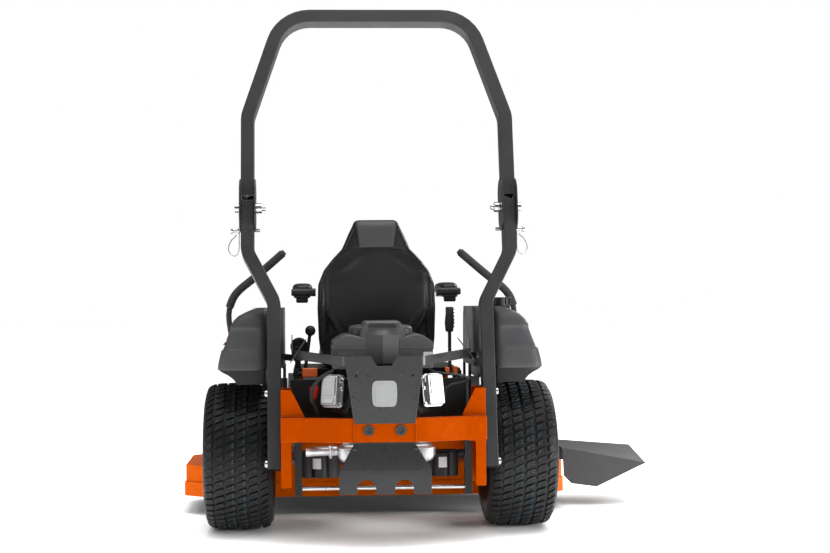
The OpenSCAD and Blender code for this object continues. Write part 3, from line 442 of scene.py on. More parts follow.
def rounded(corners: Rows, radius: float, steps: int = 6, closed: bool = True) -> Array:
    """Replaces each corner by a curve: a quadratic from a point before it, bent by it, to one after it.

    Args:
        corners: The outline's corners.
        radius: How far before and after a corner the curve runs, at most half of the side.
        steps: Points on each curve.
        closed: Whether the outline is closed.

    Returns:
        The rounded outline's points.
    """
    corners = np.asarray(corners, float)
    back, ahead = np.roll(corners, 1, axis=0) - corners, np.roll(corners, -1, axis=0) - corners
    size_back = np.linalg.norm(back, axis=1, keepdims=True)
    size_ahead = np.linalg.norm(ahead, axis=1, keepdims=True)
    first = corners + back / np.maximum(size_back, 1e-9) * np.minimum(radius, size_back * 0.49)
    last = corners + ahead / np.maximum(size_ahead, 1e-9) * np.minimum(radius, size_ahead * 0.49)
    t = np.linspace(0.0, 1.0, steps)[None, :, None]
    curve = (1 - t) ** 2 * first[:, None] + 2 * t * (1 - t) * corners[:, None] + t**2 * last[:, None]
    if not closed:
        curve[0], curve[-1] = corners[0], corners[-1]
    return curve.reshape(-1, corners.shape[1])


def rectangle(x0: float, x1: float, y0: float, y1: float, radius: float, steps: int = 6) -> Array:
    """A rectangle between two corners, with rounded corners."""
    return rounded([[x0, y0], [x1, y0], [x1, y1], [x0, y1]], radius, steps)


def circle(radius: float, count: int) -> Array:
    """Points of a circle in two axes: radius * (cos a, sin a)."""
    a = np.linspace(0.0, 2 * np.pi, count, endpoint=False)
    return radius * np.stack([np.cos(a), np.sin(a)], axis=1)


def carried(path: Array, section: Array, reference: Sequence[float] = (0.0, 0.0, 1.0)) -> Array:
    """Carries a flat section along a path: point = path + a * across + b * over.

    Across is the path's direction crossed with the reference, and over is square to both.

    Args:
        path: Points of the path.
        section: Points (a, b), or one such set for each point of the path.
        reference: A direction that the path never runs along.

    Returns:
        A grid of points, one row for each point of the path.
    """
    along = unit(np.gradient(path, axis=0))
    across = unit(np.cross(along, np.asarray(reference, float)))
    over = np.cross(across, along)
    shape = np.broadcast_to(section, (len(path), *section.shape[-2:]))
    return path[:, None] + shape[..., :1] * across[:, None] + shape[..., 1:] * over[:, None]


def capped(grid: Array) -> Array:
    """Closes a grid's two ends by adding each end's middle as a pole."""
    first = np.broadcast_to(grid[0].mean(axis=0), grid[:1].shape)
    last = np.broadcast_to(grid[-1].mean(axis=0), grid[-1:].shape)
    return np.concatenate([first, grid, last])


def turned(profile: Rows, origin: Sequence[float], axis: int, count: int) -> Array:
    """Turns a profile of (along, radius) round a main axis through a point.

    Args:
        profile: Rows of distance along the axis and radius.
        origin: A point on the axis.
        axis: 0, 1 or 2 for X, Y or Z.
        count: Points round.

    Returns:
        A grid of points, one row for each row of the profile.
    """
    profile = np.asarray(profile, float)
    a = np.linspace(0.0, 2 * np.pi, count, endpoint=False)
    grid = np.empty((len(profile), count, 3))
    grid[..., axis] = profile[:, :1]
    grid[..., (axis + 1) % 3] = profile[:, 1:] * np.cos(a)
    grid[..., (axis + 2) % 3] = profile[:, 1:] * np.sin(a)
    return grid + np.asarray(origin, float)


def slab(outline: Array, low: float, high: float, edge: float) -> Array:
    """Rows of a plate with softened edges: inset outline, full outline twice, inset outline.

    Args:
        outline: The plate's outline in its own two axes.
        low: Height of its lower face.
        high: Height of its upper face.
        edge: Size of the softened edge.

    Returns:
        A grid (row, point, 3) with the height last, poles included.
    """
    ahead, back = np.roll(outline, -1, axis=0), np.roll(outline, 1, axis=0)
    side = unit(ahead - back)
    normal = np.stack([side[:, 1], -side[:, 0]], axis=1)
    area = np.sum(outline[:, 0] * ahead[:, 1] - ahead[:, 0] * outline[:, 1])
    inset = outline - normal * edge * np.sign(area)
    rows = [(inset, low), (outline, low + edge), (outline, high - edge), (inset, high)]
    grid = np.stack([np.column_stack([shape, np.full(len(shape), level)]) for shape, level in rows])
    return capped(grid)


class Shell:
    """Grids gathered before they become one mesh."""

    def __init__(self) -> None:
        """Starts with nothing in it."""
        self.points: list[Array] = []
        self.faces: list[Array] = []
        self.maps: list[Array] = []
        self.count = 0

    def grid(self, points: Array, wrap: bool = True) -> "Shell":
        """Adds one grid of quads, given as points (row, column, 3). It is closed round if wrap is set."""
        return self.copies(points[None], wrap)

    def plate(self, outline: Array, low: float, high: float, edge: float) -> "Shell":
        """Adds an upright slab in millimetres, its outline in X and Z."""
        return self.grid(millimetres(upright(slab(outline, low, high, edge))))

    def lathe(self, profile: Rows, origin: Sequence[float], axis: int, count: int) -> "Shell":
        """Adds a profile in millimetres turned round an axis."""
        return self.grid(millimetres(turned(profile, origin, axis, count)))

    def copies(self, points: Array, wrap: bool = True, tread: Array | None = None) -> "Shell":
        """Adds many grids of one size in one step: quad = (r, c), (r, c + 1), (r + 1, c + 1), (r + 1, c).

        Args:
            points: Points of all grids (copy, row, column, 3).
            wrap: Whether each grid's last column joins its first.
            tread: Map coordinates (copy, row, column, 2), or None.

        Returns:
            The shell itself.
        """
        number, rows, columns = points.shape[:3]
        r = np.arange(rows - 1)[:, None] * columns
        c = np.arange(columns if wrap else columns - 1)[None, :]
        n = (c + 1) % columns
        quads = np.stack([r + c, r + n, r + columns + n, r + columns + c], axis=-1).reshape(-1, 4)
        starts = np.arange(number)[:, None, None] * rows * columns
        self.points.append(points.reshape(-1, 3))
        self.faces.append((quads[None] + starts).reshape(-1, 4) + self.count)
        self.maps.append(np.zeros((number * rows * columns, 2)) if tread is None else tread.reshape(-1, 2))
        self.count += number * rows * columns
        return self

    def piece(self, name: str, finishes: Sequence[Finish], sharp: float = 40.0) -> bpy.types.Object:
        """Makes the mesh object, with its doubles merged and its faces turned outwards.

        Args:
            name: The piece's name.
            finishes: Its finish, as a list of one.
            sharp: Angle in degrees past which an edge stays hard.

        Returns:
            The linked object at the origin.
        """
        mesh = bpy.data.meshes.new(name)
        mesh.from_pydata(np.vstack(self.points).tolist(), [], np.vstack(self.faces).tolist())
        layer = mesh.uv_layers.new(name="tread")
        corner = np.empty(len(mesh.loops), np.int32)
        mesh.loops.foreach_get("vertex_index", corner)
        layer.data.foreach_set("uv", np.vstack(self.maps)[corner].astype(np.float32).ravel())
        work = bmesh.new()
        work.from_mesh(mesh)
        bmesh.ops.remove_doubles(work, verts=work.verts, dist=WELD)
        bmesh.ops.recalc_face_normals(work, faces=work.faces)
        work.to_mesh(mesh)
        work.free()
        return linked(name, mesh, finishes, sharp)


def linked(name: str, mesh: bpy.types.Mesh, finishes: Sequence[Finish], sharp: float) -> bpy.types.Object:
    """Links a mesh as an object, smooth but for its hard edges, in its finishes.

    Args:
        name: The piece's name.
        mesh: Its mesh.
        finishes: The finish of each of its material slots.
        sharp: Angle in degrees past which an edge stays hard.

    Returns:
        The linked object at the origin.
    """
    for finish in finishes:
        mesh.materials.append(finish.build())
    mesh.shade_smooth()
    mesh.set_sharp_from_angle(angle=math.radians(sharp))
    made = bpy.data.objects.new(name, mesh)
    bpy.context.scene.collection.objects.link(made)
    return made


def settle(piece: bpy.types.Object, body: str, slot: str, *stands_for: str) -> bpy.types.Object:
    """Puts a piece on its body, and hides the nodes that it stands for.

    Args:
        piece: The finished piece.
        body: The body that it rides.
        slot: Its material slot in the record; not used.
        *stands_for: Nodes of the frame that it takes the place of.

    Returns:
        The piece itself.
    """
    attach(piece, body)
    if stands_for:
        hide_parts(*stands_for)
    log.info("%s: %d faces on %s", piece.name, len(piece.data.polygons) if piece.type == "MESH" else 0, body)
    return piece


def node_arrays(node: str) -> tuple[Array, Array]:
    """Reads a node of the frame.

    Args:
        node: The node's name.

    Returns:
        Its points (point, 3) and its triangles (triangle, 3).
    """
    mesh = frame["nodes"][node].data
    points = np.empty(len(mesh.vertices) * 3)
    mesh.vertices.foreach_get("co", points)
    mesh.calc_loop_triangles()
    triangles = np.empty(len(mesh.loop_triangles) * 3, np.int32)
    mesh.loop_triangles.foreach_get("vertices", triangles)
    return points.reshape(-1, 3), triangles.reshape(-1, 3)


def recast(
    node: str,
    bevel: float = 0.0012,
    finishes: Sequence[Finish] | None = None,
    chooser: Chooser | None = None,
    segments: int = 2,
) -> bpy.types.Object:
    """Makes a finer copy of a node: merged, its flat faces joined, its hard edges rounded.

    Args:
        node: The node that the piece stands for.
        bevel: Width of the rounded edges, in metres. Nought leaves them hard.
        finishes: The piece's finishes, or None for its slot's own.
        chooser: Gives each face's finish from the faces' middles and normals.
        segments: Steps in each rounded edge.

    Returns:
        The finished piece on the node's body.
    """
    points, triangles = node_arrays(node)
    mesh = bpy.data.meshes.new(node + "_piece")
    mesh.from_pydata(points.tolist(), [], triangles.tolist())
    work = bmesh.new()
    work.from_mesh(mesh)
    bmesh.ops.remove_doubles(work, verts=work.verts, dist=WELD)
    loose = [v for v in work.verts if not v.link_faces]
    bmesh.ops.delete(work, geom=loose, context="VERTS")
    bmesh.ops.dissolve_limit(work, angle_limit=math.radians(0.4), verts=work.verts, edges=work.edges)
    work.to_mesh(mesh)
    work.free()
    made = linked(mesh.name, mesh, finishes or [SLOT_FINISH[SLOT_OF[node]]], 32.0)
    if chooser is not None:
        count = len(mesh.polygons)
        middles, normals = np.empty(count * 3), np.empty(count * 3)
        mesh.polygons.foreach_get("center", middles)
        mesh.polygons.foreach_get("normal", normals)
        picked = chooser(middles.reshape(-1, 3), normals.reshape(-1, 3))
        mesh.polygons.foreach_set("material_index", np.asarray(picked, np.int32))
    if bevel > 0:
        soften(made, bevel, segments)
    return settle(made, BODY_OF[node], SLOT_OF[node], node)


def soften(piece: bpy.types.Object, width: float, segments: int) -> None:
    """Rounds a piece's hard edges and evens its shading.

    Args:
        piece: The piece.
        width: Width of each rounded edge.
        segments: Steps in it.
    """
    edge = piece.modifiers.new("soft_edges", "BEVEL")
    edge.width, edge.segments = width, segments
    edge.limit_method, edge.angle_limit = "ANGLE", math.radians(32)
    edge.use_clamp_overlap = False
    edge.harden_normals = True
    edge.miter_outer = "MITER_ARC"


def power(value: Array, exponent: float) -> Array:
    """A signed power: sign(v) * |v| ** exponent."""
    return np.sign(value) * np.abs(value) ** exponent


def pillow(
    centre: Sequence[float], half: Sequence[float], around: float, over: float, rows: int, count: int
) -> Array:
    """A superellipsoid: x = a c(u)^over c(v)^around, y = b c(u)^over s(v)^around, z = c s(u)^over.

    Args:
        centre: Its middle.
        half: Half its size along each axis.
        around: Exponent of its outline seen from above: small is square.
        over: Exponent of its section.
        rows: Steps from the lower to the upper pole.
        count: Points round.

    Returns:
        A closed grid of points.
    """
    u = np.linspace(-np.pi / 2, np.pi / 2, rows)[:, None]
    v = np.linspace(0, 2 * np.pi, count, endpoint=False)[None, :]
    flat = power(np.cos(u), over)
    rise = np.broadcast_to(power(np.sin(u), over), (rows, count))
    grid = np.stack([flat * power(np.cos(v), around), flat * power(np.sin(v), around), rise], axis=-1)
    return grid * np.asarray(half, float) + np.asarray(centre, float)


def upright(grid: Array) -> Array:
    """Stands a slab up: its outline in X and Z, its thickness along Y."""
    return grid[..., [0, 2, 1]]


def mesh_points(piece: bpy.types.Object) -> Array:
    """Reads a piece's points.

    Args:
        piece: The piece.

    Returns:
        Its points (point, 3), in metres.
    """
    points = np.empty(len(piece.data.vertices) * 3)
    piece.data.vertices.foreach_get("co", points)
    return points.reshape(-1, 3)


def set_points(piece: bpy.types.Object, points: Array) -> None:
    """Writes a piece's points back."""
    piece.data.vertices.foreach_set("co", points.astype(np.float32).ravel())
    piece.data.update()


def frozen(piece: bpy.types.Object) -> None:
    """Replaces a piece's mesh by what its modifiers make of it, and removes them.

    Args:
        piece: The piece.
    """
    shape = piece.evaluated_get(bpy.context.evaluated_depsgraph_get())
    made = bpy.data.meshes.new_from_object(shape)
    piece.modifiers.clear()
    piece.data = made


def laid_on(points: Array, target: bpy.types.Object, proud: float) -> Array:
    """Drops points along +Y or -Y onto a piece's surface, and lifts them off it a little.

    Args:
        points: Points near the surface.
        target: The piece that they are laid on.
        proud: How far they stand off it.

    Returns:
        The points on the surface.
    """
    mesh = bpy.data.meshes.new("laid")
    mesh.from_pydata(points.reshape(-1, 3).tolist(), [], [])
    carrier = bpy.data.objects.new("laid", mesh)
    bpy.context.scene.collection.objects.link(carrier)
    wrap = carrier.modifiers.new("wrap", "SHRINKWRAP")
    wrap.wrap_method, wrap.target, wrap.offset = "PROJECT", target, proud
    wrap.use_project_y, wrap.use_project_x, wrap.use_project_z = True, False, False
    wrap.use_positive_direction = wrap.use_negative_direction = True
    frozen(carrier)
    found = mesh_points(carrier).reshape(points.shape)
    bpy.data.objects.remove(carrier)
    return found


def inflate(piece: bpy.types.Object, voxel: float, cap: float, pressure: float = 4.0) -> None:
    """Fills a soft piece by a cloth simulation: remeshed, blown up, each point's move capped.

    Args:
        piece: The closed soft piece.
        voxel: Size of the remeshed squares.
        cap: The furthest that a point may move.
        pressure: Pressure inside the cloth.
    """
    finishes = list(piece.data.materials)
    remesh = piece.modifiers.new("remesh", "REMESH")
    remesh.mode, remesh.voxel_size = "VOXEL", voxel
    frozen(piece)
    start = mesh_points(piece)
    cloth = piece.modifiers.new("cloth", "CLOTH")
    cloth.settings.use_pressure = True
    cloth.settings.uniform_pressure_force = pressure
    cloth.settings.effector_weights.gravity = 0.0
    cloth.settings.tension_stiffness = cloth.settings.compression_stiffness = 25.0
    cloth.settings.quality = 4
    cloth.point_cache.frame_start, cloth.point_cache.frame_end = 1, 20
    for step in range(1, 21):
        bpy.context.scene.frame_set(step)
    frozen(piece)
    bpy.context.scene.frame_set(1)
    end = mesh_points(piece)
    move = end - start
    size = np.linalg.norm(move, axis=1, keepdims=True)
    set_points(piece, start + move * np.minimum(1.0, cap / np.maximum(size, 1e-9)))
    piece.data.materials.clear()
    for finish in finishes:
        piece.data.materials.append(finish)
    piece.data.shade_smooth()
    log.info("%s: cloth filled, %d points", piece.name, len(start))


def piping(path: Array, radius: float) -> Array:
    """A thin round tube with closed ends, along a path that never runs fore and aft."""
    return capped(carried(path, circle(radius, 8), (0, 1, 0)))


# --- Studio ------------------------------------------------------------------


@dataclass
class Studio:
    """Camera, lights and floor."""

    place: tuple[float, float, float] = (-0.258, -5.5, 0.9)
    yaw: float = -2.83
    roll: float = 0.5
    lens: float = 60.5
    ambient: float = 0.16
    floor_sun: float = 2.6
    floor_fill: float = 1.15
    shift: tuple[float, float] = (34 / FRAME_WIDTH, 21.5 / FRAME_WIDTH)
    lights: tuple[tuple[str, tuple[float, float, float], tuple[float, float, float], float, float], ...] = (
        ("top_softbox", (0.2, -0.2, 4.6), (0.0, 0.2, 0.5), 3.5, 165.0),
        ("right_strip", (3.8, -2.4, 0.85), (0.2, -0.4, 0.7), 1.9, 120.0),
        ("left_strip", (-4.1, -1.9, 1.3), (-0.2, -0.4, 0.7), 1.6, 30.0),
        ("far_rim", (3.0, 3.6, 3.0), (0.0, 0.2, 0.9), 2.2, 90.0),
    )

    def __post_init__(self) -> None:
        """Makes the empty list of pieces that shade the floor's second light."""
        self.shading = bpy.data.collections.new("floor_shading")

    def camera(self) -> bpy.types.Object:
        """Makes the scene's camera, a little left of the middle and turned back towards it.

        Returns:
            The camera.
        """
        data = bpy.data.cameras.new("camera")
        data.lens, data.sensor_width = self.lens, 36.0
        data.shift_x, data.shift_y = self.shift
        made = bpy.data.objects.new("camera", data)
        bpy.context.scene.collection.objects.link(made)
        made.location = self.place
        made.rotation_euler = (math.pi / 2, math.radians(self.roll), math.radians(self.yaw))
        bpy.context.scene.camera = made
        return made

    def light(self) -> None:
        """Makes the soft lights and the pale surroundings."""
        world = bpy.data.worlds.new("surroundings")
        bpy.context.scene.world = world
        world.use_nodes = True
        tree = world.node_tree
        tree.nodes["Background"].inputs["Color"].default_value = (1.0, 1.0, 1.0, 1.0)
        seen = put(tree, "LightPath").outputs["Is Camera Ray"]
        level = put(tree, "MapRange", None, Value=seen, i1=0.0, i2=1.0, i3=self.ambient, i4=1.0)
        tree.links.new(level.outputs[0], tree.nodes["Background"].inputs["Strength"])
        for name, place, aim, size, watts in self.lights:
            data = bpy.data.lights.new(name, "AREA")
            data.shape, data.size, data.energy = "DISK", size, watts
            made = bpy.data.objects.new(name, data)
            bpy.context.scene.collection.objects.link(made)
            made.location = place
            made.rotation_euler = (Vector(aim) - Vector(place)).to_track_quat("-Z", "Y").to_euler()
        bpy.context.scene.view_settings.view_transform = "Standard"

    def floor(self) -> bpy.types.Object:
        """Makes the floor, a wide flat grid at ground level, and the two suns that light only it.

        Returns:
            The floor.
        """
        x, y = np.meshgrid(np.linspace(-40, 40, 9), np.linspace(-40, 40, 9))
        made = Shell().grid(np.stack([x, y, np.full_like(x, -0.0005)], axis=-1), wrap=False).piece("floor", [FLOOR])
        lit = bpy.data.collections.new("floor_only")
        lit.objects.link(made)
        for name, energy in (("floor_sun", self.floor_sun), ("floor_fill", self.floor_fill)):
            data = bpy.data.lights.new(name, "SUN")
            data.energy, data.angle = energy, math.radians(110)
            sun = bpy.data.objects.new(name, data)
            bpy.context.scene.collection.objects.link(sun)
            sun.light_linking.receiver_collection = lit
            if name == "floor_fill":
                sun.light_linking.blocker_collection = self.shading
        return made

    def shade(self, *pieces: str) -> None:
        """Lets only the named pieces throw a shadow in the floor's second light.

        Args:
            *pieces: Names of the pieces.
        """
        for name in pieces:
            self.shading.objects.link(bpy.data.objects[name])


# --- Roll bar ----------------------------------------------------------------


@dataclass
class RollBar:
    """The folding roll bar: posts, hoop, lock pins and their wire loops."""

    lean: float = math.radians(12)
    foot: tuple[float, float] = (-350.0, 269.0)
    plate_out: float = 532.3
    wire: float = 2.0
    loop: tuple[tuple[float, float, float], ...] = (
        (14, 0, -16), (20, -2, -26), (32, -6, -36), (42, -12, -56), (44, -18, -76),
        (36, -24, -92), (22, -28, -100), (9, -30, -94), (3, -32, -78), (2, -33, -58),
        (2, -34, -38), (2, -35, -20), (2, -36, -8),
    )

    def pin_place(self) -> Array:
        """Where the right lock pin's wire starts: a point up the leaning post and square ahead of it.

        Returns:
            The point, in millimetres.
        """
        s = (1173 - self.foot[1]) / math.cos(self.lean)
        y = self.foot[0] + s * math.sin(self.lean) + 42.5 * math.cos(self.lean)
        z = self.foot[1] + s * math.cos(self.lean) - 42.5 * math.sin(self.lean)
        return np.array([self.plate_out, y, z])

    def lanyards(self) -> None:
        """Makes the wire loop that hangs from each lock pin."""
        for side in SIDES:
            route = millimetres(self.pin_place() + np.array(self.loop, float))
            route = mirrored(route, side)
            data = bpy.data.curves.new(f"pin_lanyard_{SIDE_NAME[side]}", "CURVE")
            data.dimensions = "3D"
            spline = data.splines.new("POLY")
            spline.points.add(len(route) - 1)
            spline.points.foreach_set("co", np.column_stack([route, np.ones(len(route))]).ravel())
            data.bevel_depth, data.bevel_resolution = self.wire / 1000, 3
            data.use_fill_caps = True
            data.materials.append(WIRE.build())
            made = bpy.data.objects.new(data.name, data)
            bpy.context.scene.collection.objects.link(made)
            settle(made, BODY_OF["pin_lanyards"], SLOT_OF["pin_lanyards"], "pin_lanyards")

    def build(self) -> None:
        """Makes the bar's rigid pieces."""
        recast("roll_bar_posts", 0.004, segments=3)
        recast("roll_bar_hoop", 0.004, segments=3)
        recast("post_bolts", 0.0008)
        for side in ("left", "right"):
            recast(f"lock_pin_{side}", 0.0006)


# --- Wheels ------------------------------------------------------------------


@dataclass
class DriveWheels:
    """The two driven wheels: lugged tyres on dark rims."""

    radius: float = 286.0
    width: float = 262.0
    track: float = 1087.0
    rim: float = 152.5
    lug_depth: float = 8.0
    per_row: int = 56
    columns: tuple[float, ...] = (-108.0, -68.0, -26.0, 17.0, 60.0, 102.0)

    def crown(self, across: Array) -> Array:
        """Radius of the tread at a distance across: full in the middle, falling off as the fourth power."""
        t = np.abs(across) / (self.width / 2)
        return self.radius - 5.0 * t**2 - 26.0 * t**8

    def carcass(self) -> Array:
        """The tyre's section from bead to bead as rows of (across, radius).

        Returns:
            The rows, in millimetres.
        """
        half = self.width / 2
        across = np.linspace(-half * 0.97, half * 0.97, 25)
        tread = np.stack([across, self.crown(across) - self.lug_depth], axis=1)
        wall = np.array([[half, 238.0], [half - 1, 215.0], [half - 8, 190.0], [half - 22, 166.0], [half - 27, 158.0]])
        left = wall[::-1] * [-1, 1]
        return np.vstack([left, tread, wall])

    def lugs(self) -> tuple[Array, Array]:
        """All lugs of a tyre: each is a slanted block on the crown, one grid, set round at equal angles.

        The block's outline is a rounded parallelogram (across, round). Its rows lie at rising radii, and each is
        drawn in a little, so the flanks slope.

        Returns:
            Points (copy, row, column, 3) and the map coordinates of the same shape.
        """
        pitch = 2 * np.pi * self.radius / self.per_row
        base = np.array([
            [-17.5, -0.36], [-6.0, -0.34], [6.0, -0.34], [17.5, -0.3], [17.5, 0.36], [6.0, 0.34], [-6.0, 0.34],
            [-17.5, 0.3],
        ])
        outline = rounded(base * [1.0, pitch], 4.0, 2)
        slant = 0.34
        outline = outline + np.stack([np.zeros(len(outline)), slant * outline[:, 0]], axis=1)
        deep = self.lug_depth
        rows = np.array([
            [1.04, -2.0], [1.0, deep - 1.5], [0.93, deep], [0.55, deep], [0.42, deep - 1.6], [0.0, deep - 1.6],
        ])
        angle = np.arange(self.per_row) * 2 * np.pi / self.per_row
        points, maps = [], []
        for number, middle in enumerate(self.columns):
            wide = 1.0 if abs(middle) < 90 else 0.86
            shape = outline[None] * rows[:, :1, None] * [wide, 1.0]
            across = middle + shape[..., 0]
            level = self.crown(across) - self.lug_depth + rows[:, 1:]
            turn = shape[..., 1] / self.radius + (0.5 if number % 2 else 0.0) * 2 * np.pi / self.per_row
            phi = angle[:, None, None] + turn[None]
            x = np.broadcast_to(across, phi.shape)
            r = np.broadcast_to(level, phi.shape)
            points.append(np.stack([x, -r * np.cos(phi), r * np.sin(phi)], axis=-1))
            maps.append(np.stack([x / self.width + 0.5, phi / (2 * np.pi)], axis=-1))
        return np.concatenate(points), np.concatenate(maps)

    def build(self) -> None:
        """Makes both tyres and rims."""
        for side in SIDES:
            label = SIDE_NAME[side]
            centre = millimetres([side * self.track / 2, 0.0, self.radius])
            section = self.carcass()
            ring = turned(millimetres(section), centre, 0, 112)
            inner = turned(millimetres([[-103, 158], [-103, 150], [103, 150], [103, 158]]), centre, 0, 112)
            body = Shell().grid(np.concatenate([ring, inner[::-1], ring[:1]]))
            lugs, maps = self.lugs()
            body.copies(millimetres(lugs) + centre, tread=maps)
            settle(body.piece(f"drive_tyre_{label}", [TYRE], 35.0), f"wheel_{label}", "tyre", f"rear_tyre_{label}")
            recast(f"rear_rim_{label}", 0.001)


@dataclass
class Casters:
    """The front casters: forks, smooth tyres and dished rims."""

    track: float = 1120.0
    axle: tuple[float, float] = (1290.0, 165.0)
    width: float = 165.0

    def build(self) -> None:
        """Makes each fork and wheel."""
        for side in SIDES:
            label = SIDE_NAME[side]
            recast(f"caster_fork_{label}", 0.0015)
            centre = millimetres([side * self.track / 2, *self.axle])
            half = self.width / 2
            t = np.linspace(-1.0, 1.0, 41)
            tread = np.stack([t * half * 0.93, 165.0 - 6 * t**2 - 20 * t**10], axis=1)
            tread[:, 1] -= 1.6 * (np.cos(t * 9 * np.pi) > 0.55)
            wall = np.array([[half, 130.0], [half - 1, 112.0], [half - 12, 92.0], [half - 22, 84.0]])
            section = np.vstack([wall[::-1] * [-1, 1], tread, wall, [[0, 82.0]], (wall[::-1] * [-1, 1])[:1]])
            tyre = Shell().grid(turned(millimetres(section), centre, 0, 72)).piece(f"caster_tyre_{label}", [TYRE], 35.0)
            settle(tyre, f"caster_{label}", "tyre", f"caster_wheel_{label}")
            dish = np.array([
                [-62, 84], [-62, 90], [-58, 90], [-56, 82], [-50, 74], [-24, 66], [-20, 34], [-30, 24], [-60, 22],
                [-60, 17], [60, 17], [60, 22], [30, 24], [20, 34], [24, 66], [50, 74], [56, 82], [58, 90], [62, 90],
                [62, 84], [0, 81.5], [-62, 84],
            ], float)
            rim = Shell().grid(turned(millimetres(dish), centre, 0, 56)).piece(f"caster_rim_{label}", [RIM], 30.0)
            settle(rim, f"caster_{label}", SLOT_OF[f"caster_wheel_{label}"])


# --- Bodywork ----------------------------------------------------------------


@dataclass
class Fenders:
    """The moulded fenders over the driven wheels, with a sunk panel round their sides."""

    low: float = 632.0
    high: float = 865.0
    plan: tuple[tuple[float, float], ...] = (
        (432, -250), (619, -250), (622, -60), (622, 352), (370, 352), (370, -117), (432, -117),
    )
    # Height above the ground, drawing in, and depth of the panel, from the foot up
    rows: tuple[tuple[float, float, float], ...] = (
        (632, 8, 0), (634, 4, 0), (638, 3, 0), (660, 6, 0), (690, 13, 0), (699, 16, 0), (703, 17, -1.5), (707, 18, 1),
        (711, 20, 4), (725, 25, 5), (750, 34, 5.5), (770, 41, 5.5), (784, 46, 5), (789, 48, 2), (793, 50, 0),
        (800, 53, 0), (820, 65, 0), (836, 82, 0), (848, 105, 0), (857, 125, 0), (862, 138, 0), (864.5, 150, 0),
    )

    def surface(self, side: float) -> Array:
        """The shell's outer face: the plan's outline, squeezed row by row, most on the outer side.

        x = x - d (x - 440) / 182 past 440, y = y - 0.62 d y / 250 behind the axle, and y = y - 0.4 d (y - 250) / 102
        at the front, where d is the row's drawing in. The panel is then sunk along the outline's normal.

        Args:
            side: -1 for the left fender and 1 for the right.

        Returns:
            A grid of points, closed at the top by a pole.
        """
        outline = resample(rounded(np.array(self.plan, float), 42.0, 7), 132, closed=True)
        tangent = unit(np.roll(outline, -1, axis=0) - np.roll(outline, 1, axis=0))
        out = np.stack([tangent[:, 1], -tangent[:, 0]], axis=1)
        x, y = outline.T
        notch = (x < 436) & (y < -110)
        panel = np.where(notch, 0.0, np.clip((out[:, 0] + 0.3) * 3, 0, 1))
        rows = np.array(self.rows)
        draw = rows[:, 1, None]
        side_in = draw / 182 * np.clip(x - 440, 0, None)
        rear_in = 0.62 * draw / 250 * np.clip(-y, 0, None)
        front_in = 0.4 * draw / 102 * np.clip(y - 250, 0, None)
        flat = np.stack([x - side_in, y + rear_in - front_in], axis=-1)
        flat = flat - out[None] * (rows[:, 2, None] * panel)[..., None]
        grid = np.concatenate([flat, np.broadcast_to(rows[:, :1, None], (*flat.shape[:2], 1))], axis=-1)
        middle = np.array([505.0, 60.0, self.high])
        tops = [grid[-1] + (middle - grid[-1]) * share for share in (0.3, 0.65, 1.0)]
        foot = grid[0] + (np.array([505.0, 60.0, self.low + 1]) - grid[0]) * np.array([0.05, 0.05, 1.0])
        inner = foot + np.array([0, 0, 60.0])
        return mirrored(millimetres(np.concatenate([[inner], [foot], grid, np.stack(tops)])), side)

    def build(self) -> None:
        """Makes the fenders, their liners and the marks on them."""
        for side in SIDES:
            label = SIDE_NAME[side]
            made = Shell().grid(self.surface(side)).piece(f"fender_shell_{label}", [PLASTIC], 50.0)
            settle(made, "frame", "grey_plastic", f"fender_{label}")
        liner = Shell()
        section = np.array([
            [437, 640], [606, 640], [606, 631], [598, 625], [578, 615], [561, 603], [550, 591], [544, 579],
            [537, 577.5], [437, 577.5],
        ], float)
        y = np.array([-240, -238.5, -234, *np.linspace(-220, 320, 12), 334, 338.5, 340.0])
        inset = np.array([4, 1.5, 0, *[0] * 12, 0, 1.5, 4.0])
        middle = section.mean(axis=0)
        for side in SIDES:
            rows = middle + (section[None] - middle) * (1 - inset[:, None, None] / 80)
            grid = np.stack([rows[..., 0], np.broadcast_to(y[:, None], rows.shape[:2]), rows[..., 1]], axis=-1)
            liner.grid(mirrored(millimetres(capped(grid)), side))
        settle(liner.piece("wheel_arches", [BLACK], 50.0), "frame", "black_plastic", "fender_liners")
        extras = Shell()
        lens = rounded([[26, 738], [104, 738], [96, 782], [34, 782]], 6, 4)
        face = slab(lens, 588, 599, 1.5)
        tilt = np.stack([-(face[..., 2] - (face[..., 1] - 738) * 0.42), face[..., 0], face[..., 1]], axis=-1)
        extras.grid(millimetres(tilt))
        settle(extras.piece("side_reflector", [LENS]), "frame", "orange_plastic")
        neck = turned([[838, 0], [838, 47], [860, 44], [866.5, 42], [866.5, 0]], [490, 60, 0], 2, 40)
        settle(Shell().grid(millimetres(neck)).piece("filler_neck", [BLACK], 30.0), "frame", "black_plastic")


@dataclass
class Bodywork:
    """Consoles, battery, foot platform and the small fittings on them."""

    def build(self) -> None:
        """Makes the covers and boxes."""
        recast("control_consoles", 0.003, segments=3)
        recast("battery", 0.002)
        recast("foot_platform", 0.002)
        recast("wiring_and_hoses", 0.0)
        recast("fuel_cap", 0.001)


# --- Frame, engine, deck -----------------------------------------------------


